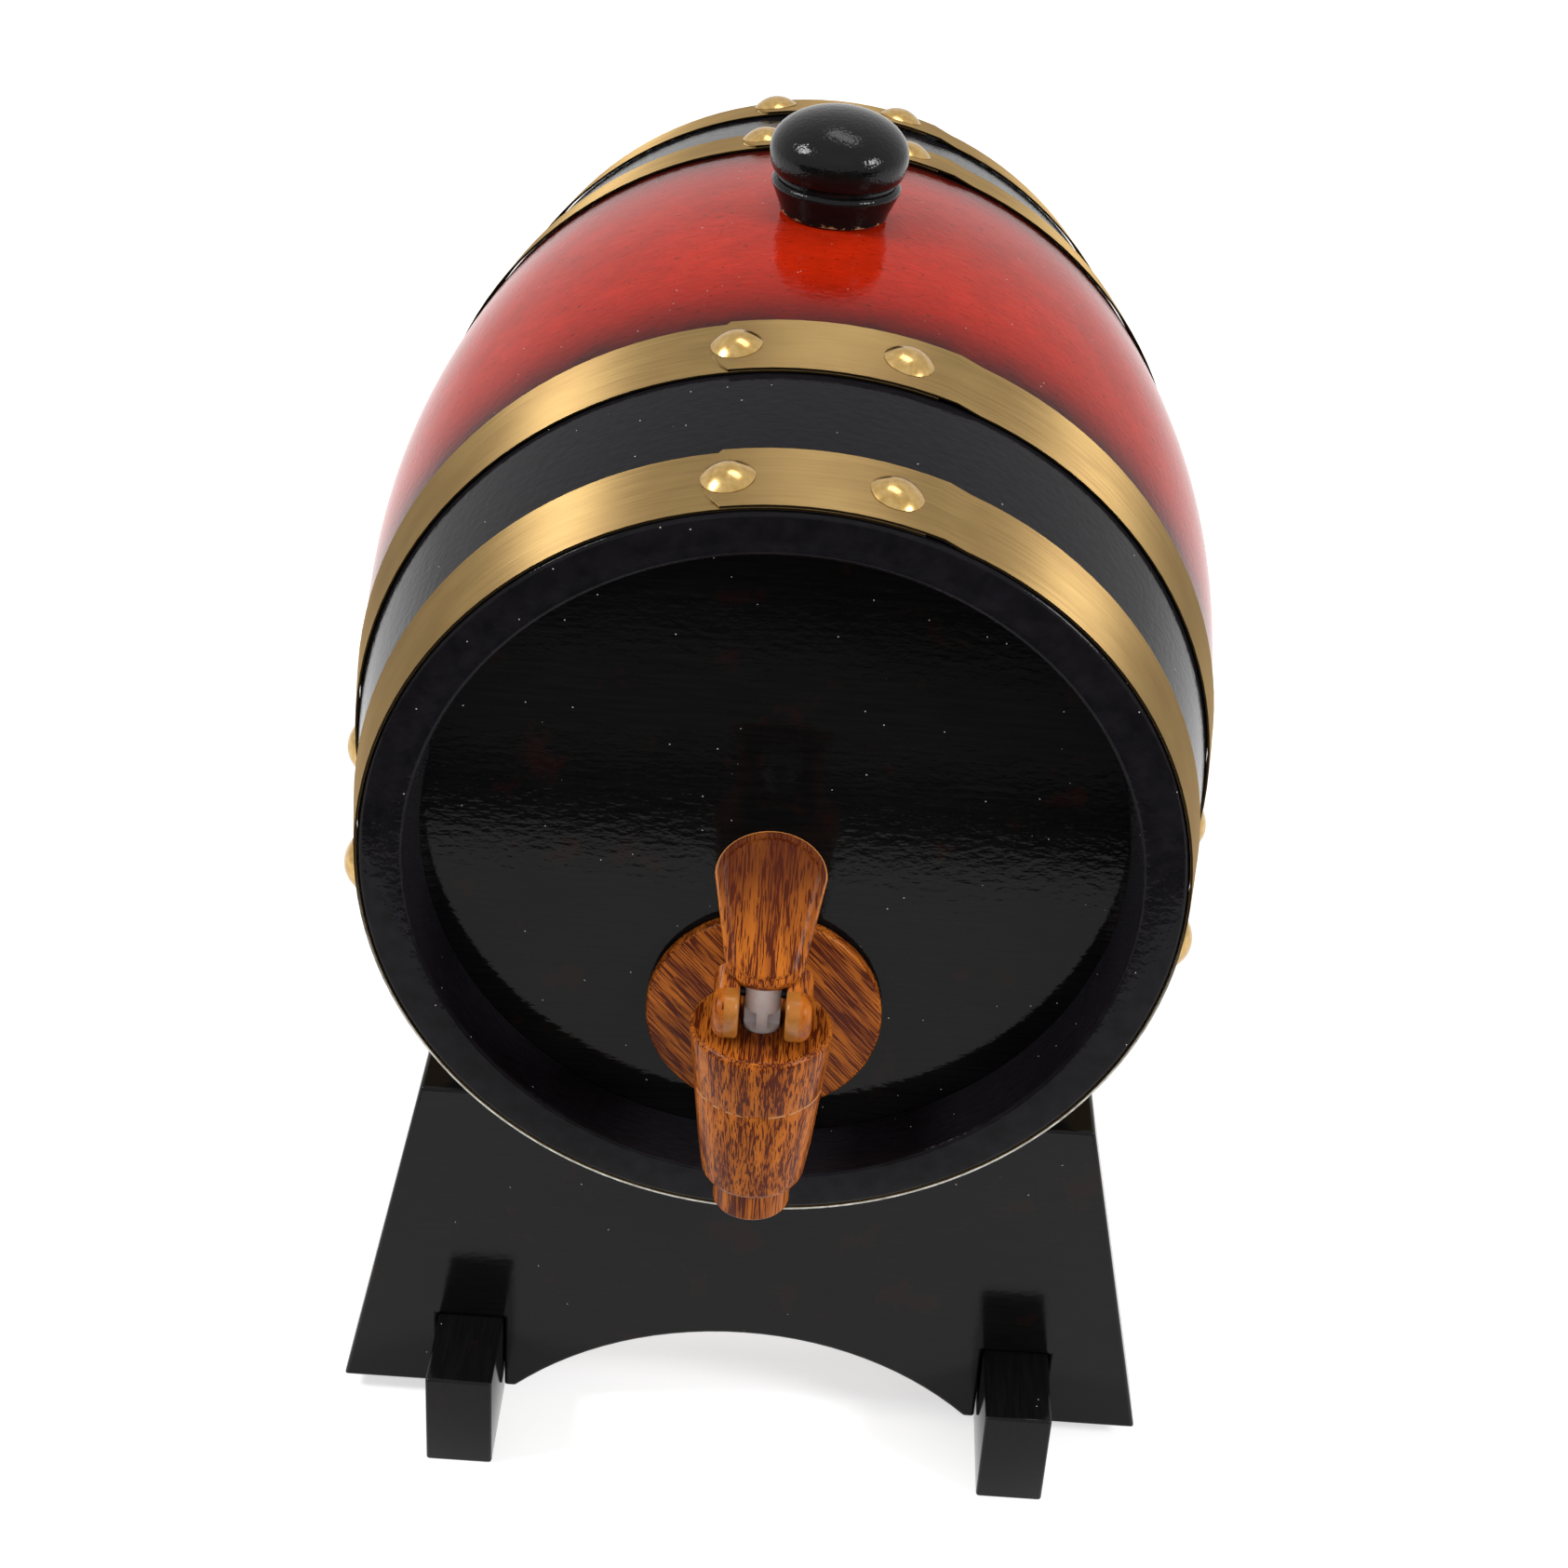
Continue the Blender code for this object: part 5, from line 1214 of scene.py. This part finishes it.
# %% Floor and world
FLOOR_SIZE = 12
FLOOR_MIDDLE = (0, 3, 0)
FLOOR_GLOW = 0.62

bpy.ops.object.select_all(action="DESELECT")
bpy.ops.mesh.primitive_plane_add(size=FLOOR_SIZE, location=FLOOR_MIDDLE)
floor = bpy.context.object
floor.name = "floor"


def seen_share(tree):
    """One for rays from the camera, a mirror or glass, nought for rays that light the object."""
    ray = add(tree, "LightPath").outputs
    seen = ray["Is Camera Ray"]
    for kind in ("Is Glossy Ray", "Is Transmission Ray"):
        seen = add(tree, "Math", {0: seen, 1: ray[kind]}, operation="MAXIMUM").outputs[0]
    return seen


paper = bpy.data.materials.new("white_paper_floor")
paper.use_nodes = True
tree = paper.node_tree
tree.nodes.clear()
matt = add(tree, "BsdfDiffuse", {"Color": "#D8D8D8"}).outputs[0]
glow = add(tree, "Emission", {"Color": (1, 1, 1, 1), "Strength": FLOOR_GLOW}).outputs[0]
both = add(tree, "AddShader", {0: matt, 1: glow}).outputs[0]
shown = add(tree, "MixShader", {0: seen_share(tree), 1: matt, 2: both}).outputs[0]
add(tree, "OutputMaterial", {"Surface": shown})
put_on(paper, floor)

# %% [markdown]
# The real studio was dark behind the photographer, and the glossy head mirrors where the white
# table ended: a black gap, a grey strip, and black again. Three cloths on the floor in front of
# the object do the same. Only reflections see them.

# %% Dark cloths and white world
# Where each cloth starts and ends along Y, in metres, and its colour.
CLOTHS = ((-0.315, -0.357, "#0A0A0A"), (-0.357, -0.442, "#7A7A7A"), (-0.442, -2.3, "#0A0A0A"))
CLOTH_WIDTH = 3
CLOTH_LIFT = 2 * MM
WORLD_LIGHT = 0.45
WORLD_SHOWN = 1.0

for number, (near, far, colour) in enumerate(CLOTHS):
    bpy.ops.object.select_all(action="DESELECT")
    bpy.ops.mesh.primitive_plane_add(size=1, location=(0, (near + far) / 2, CLOTH_LIFT))
    cloth = bpy.context.object
    cloth.name = f"felt_cloth_{number}"
    cloth.scale = (CLOTH_WIDTH, near - far, 1)
    cloth.visible_camera = cloth.visible_diffuse = cloth.visible_shadow = False
    felt, tree, shader = finish(f"felt_{number}", Roughness=0.9, Specular_IOR_Level=0.0)
    shader.inputs["Base Color"].default_value = linear(colour)
    put_on(felt, cloth)

world = bpy.data.worlds.new("white_studio")
bpy.context.scene.world = world
world.use_nodes = True
tree = world.node_tree
tree.nodes.clear()
dim = add(tree, "Background", {"Color": (1, 1, 1, 1), "Strength": WORLD_LIGHT}).outputs[0]
white = add(tree, "Background", {"Color": (1, 1, 1, 1), "Strength": WORLD_SHOWN}).outputs[0]
sky = add(tree, "MixShader", {0: seen_share(tree), 1: dim, 2: white}).outputs[0]
add(tree, "OutputWorld", {"Surface": sky})
print("floor at z =", floor.location.z)

# %% [markdown]
# Two softboxes stand left and right of the object, and a wider one hangs above. All three are as
# far from a point near the top of the cask, and face it.

# %% Soft lamps
LAMP_REACH = 1.1
LAMP_AIM = Vector((0, 0.01, 0.24))
# Each lamp's way from that point, its width and height in metres and its power in watts.
LAMPS = {
    "left_softbox": ((-0.76, -0.23, 0.61), (0.3, 0.3), 8.5),
    "right_softbox": ((0.81, -0.45, 0.38), (0.3, 0.3), 8.0),
    "top_softbox": ((0.10, 0.15, 0.98), (0.6, 0.3), 3.0),
}


def softbox(name, spot, target, size, power):
    """A rectangular area lamp that faces a target."""
    lamp = bpy.data.lights.new(name, "AREA")
    lamp.shape = "RECTANGLE"
    lamp.size, lamp.size_y = size
    lamp.energy = power
    holder = bpy.data.objects.new(name, lamp)
    bpy.context.scene.collection.objects.link(holder)
    holder.location = spot
    holder.rotation_euler = (target - spot).to_track_quat("-Z", "Y").to_euler()


for name, (way, size, power) in LAMPS.items():
    softbox(name, LAMP_AIM + LAMP_REACH * Vector(way).normalized(), LAMP_AIM, size, power)
print("lamps:", len(bpy.data.lights))

# %% [markdown]
# The camera stands where the photographer stood. Its place and turn were fitted to the ellipses of
# the rim and the hoops and to the feet of the stand, so the model falls on its picture.

# %% Camera
FOCAL = 63.95
SENSOR = 36.0
EYE = Vector((2.9 * MM, -523.95 * MM, 442.5 * MM))
PITCH = math.radians(31.679)
YAW = math.radians(-0.234)
ROLL = math.radians(-3.726)
NEAR_CLIP = 0.01

flat = math.cos(PITCH)
forward = Vector((math.sin(YAW) * flat, math.cos(YAW) * flat, -math.sin(PITCH)))
level = Vector((math.cos(YAW), -math.sin(YAW), 0))
down = forward.cross(level)
across = math.cos(ROLL) * level + math.sin(ROLL) * down
below = -math.sin(ROLL) * level + math.cos(ROLL) * down
lens = bpy.data.cameras.new("photo_camera")
lens.lens = FOCAL
lens.sensor_width = SENSOR
lens.clip_start = NEAR_CLIP
camera = bpy.data.objects.new("photo_camera", lens)
bpy.context.scene.collection.objects.link(camera)
turned = Matrix((across, -below, -forward)).transposed()
camera.matrix_world = Matrix.Translation(EYE) @ turned.to_4x4()
bpy.context.scene.camera = camera
bpy.context.scene.view_settings.view_transform = "Standard"
print("camera height, m:", round(camera.location.z, 3))
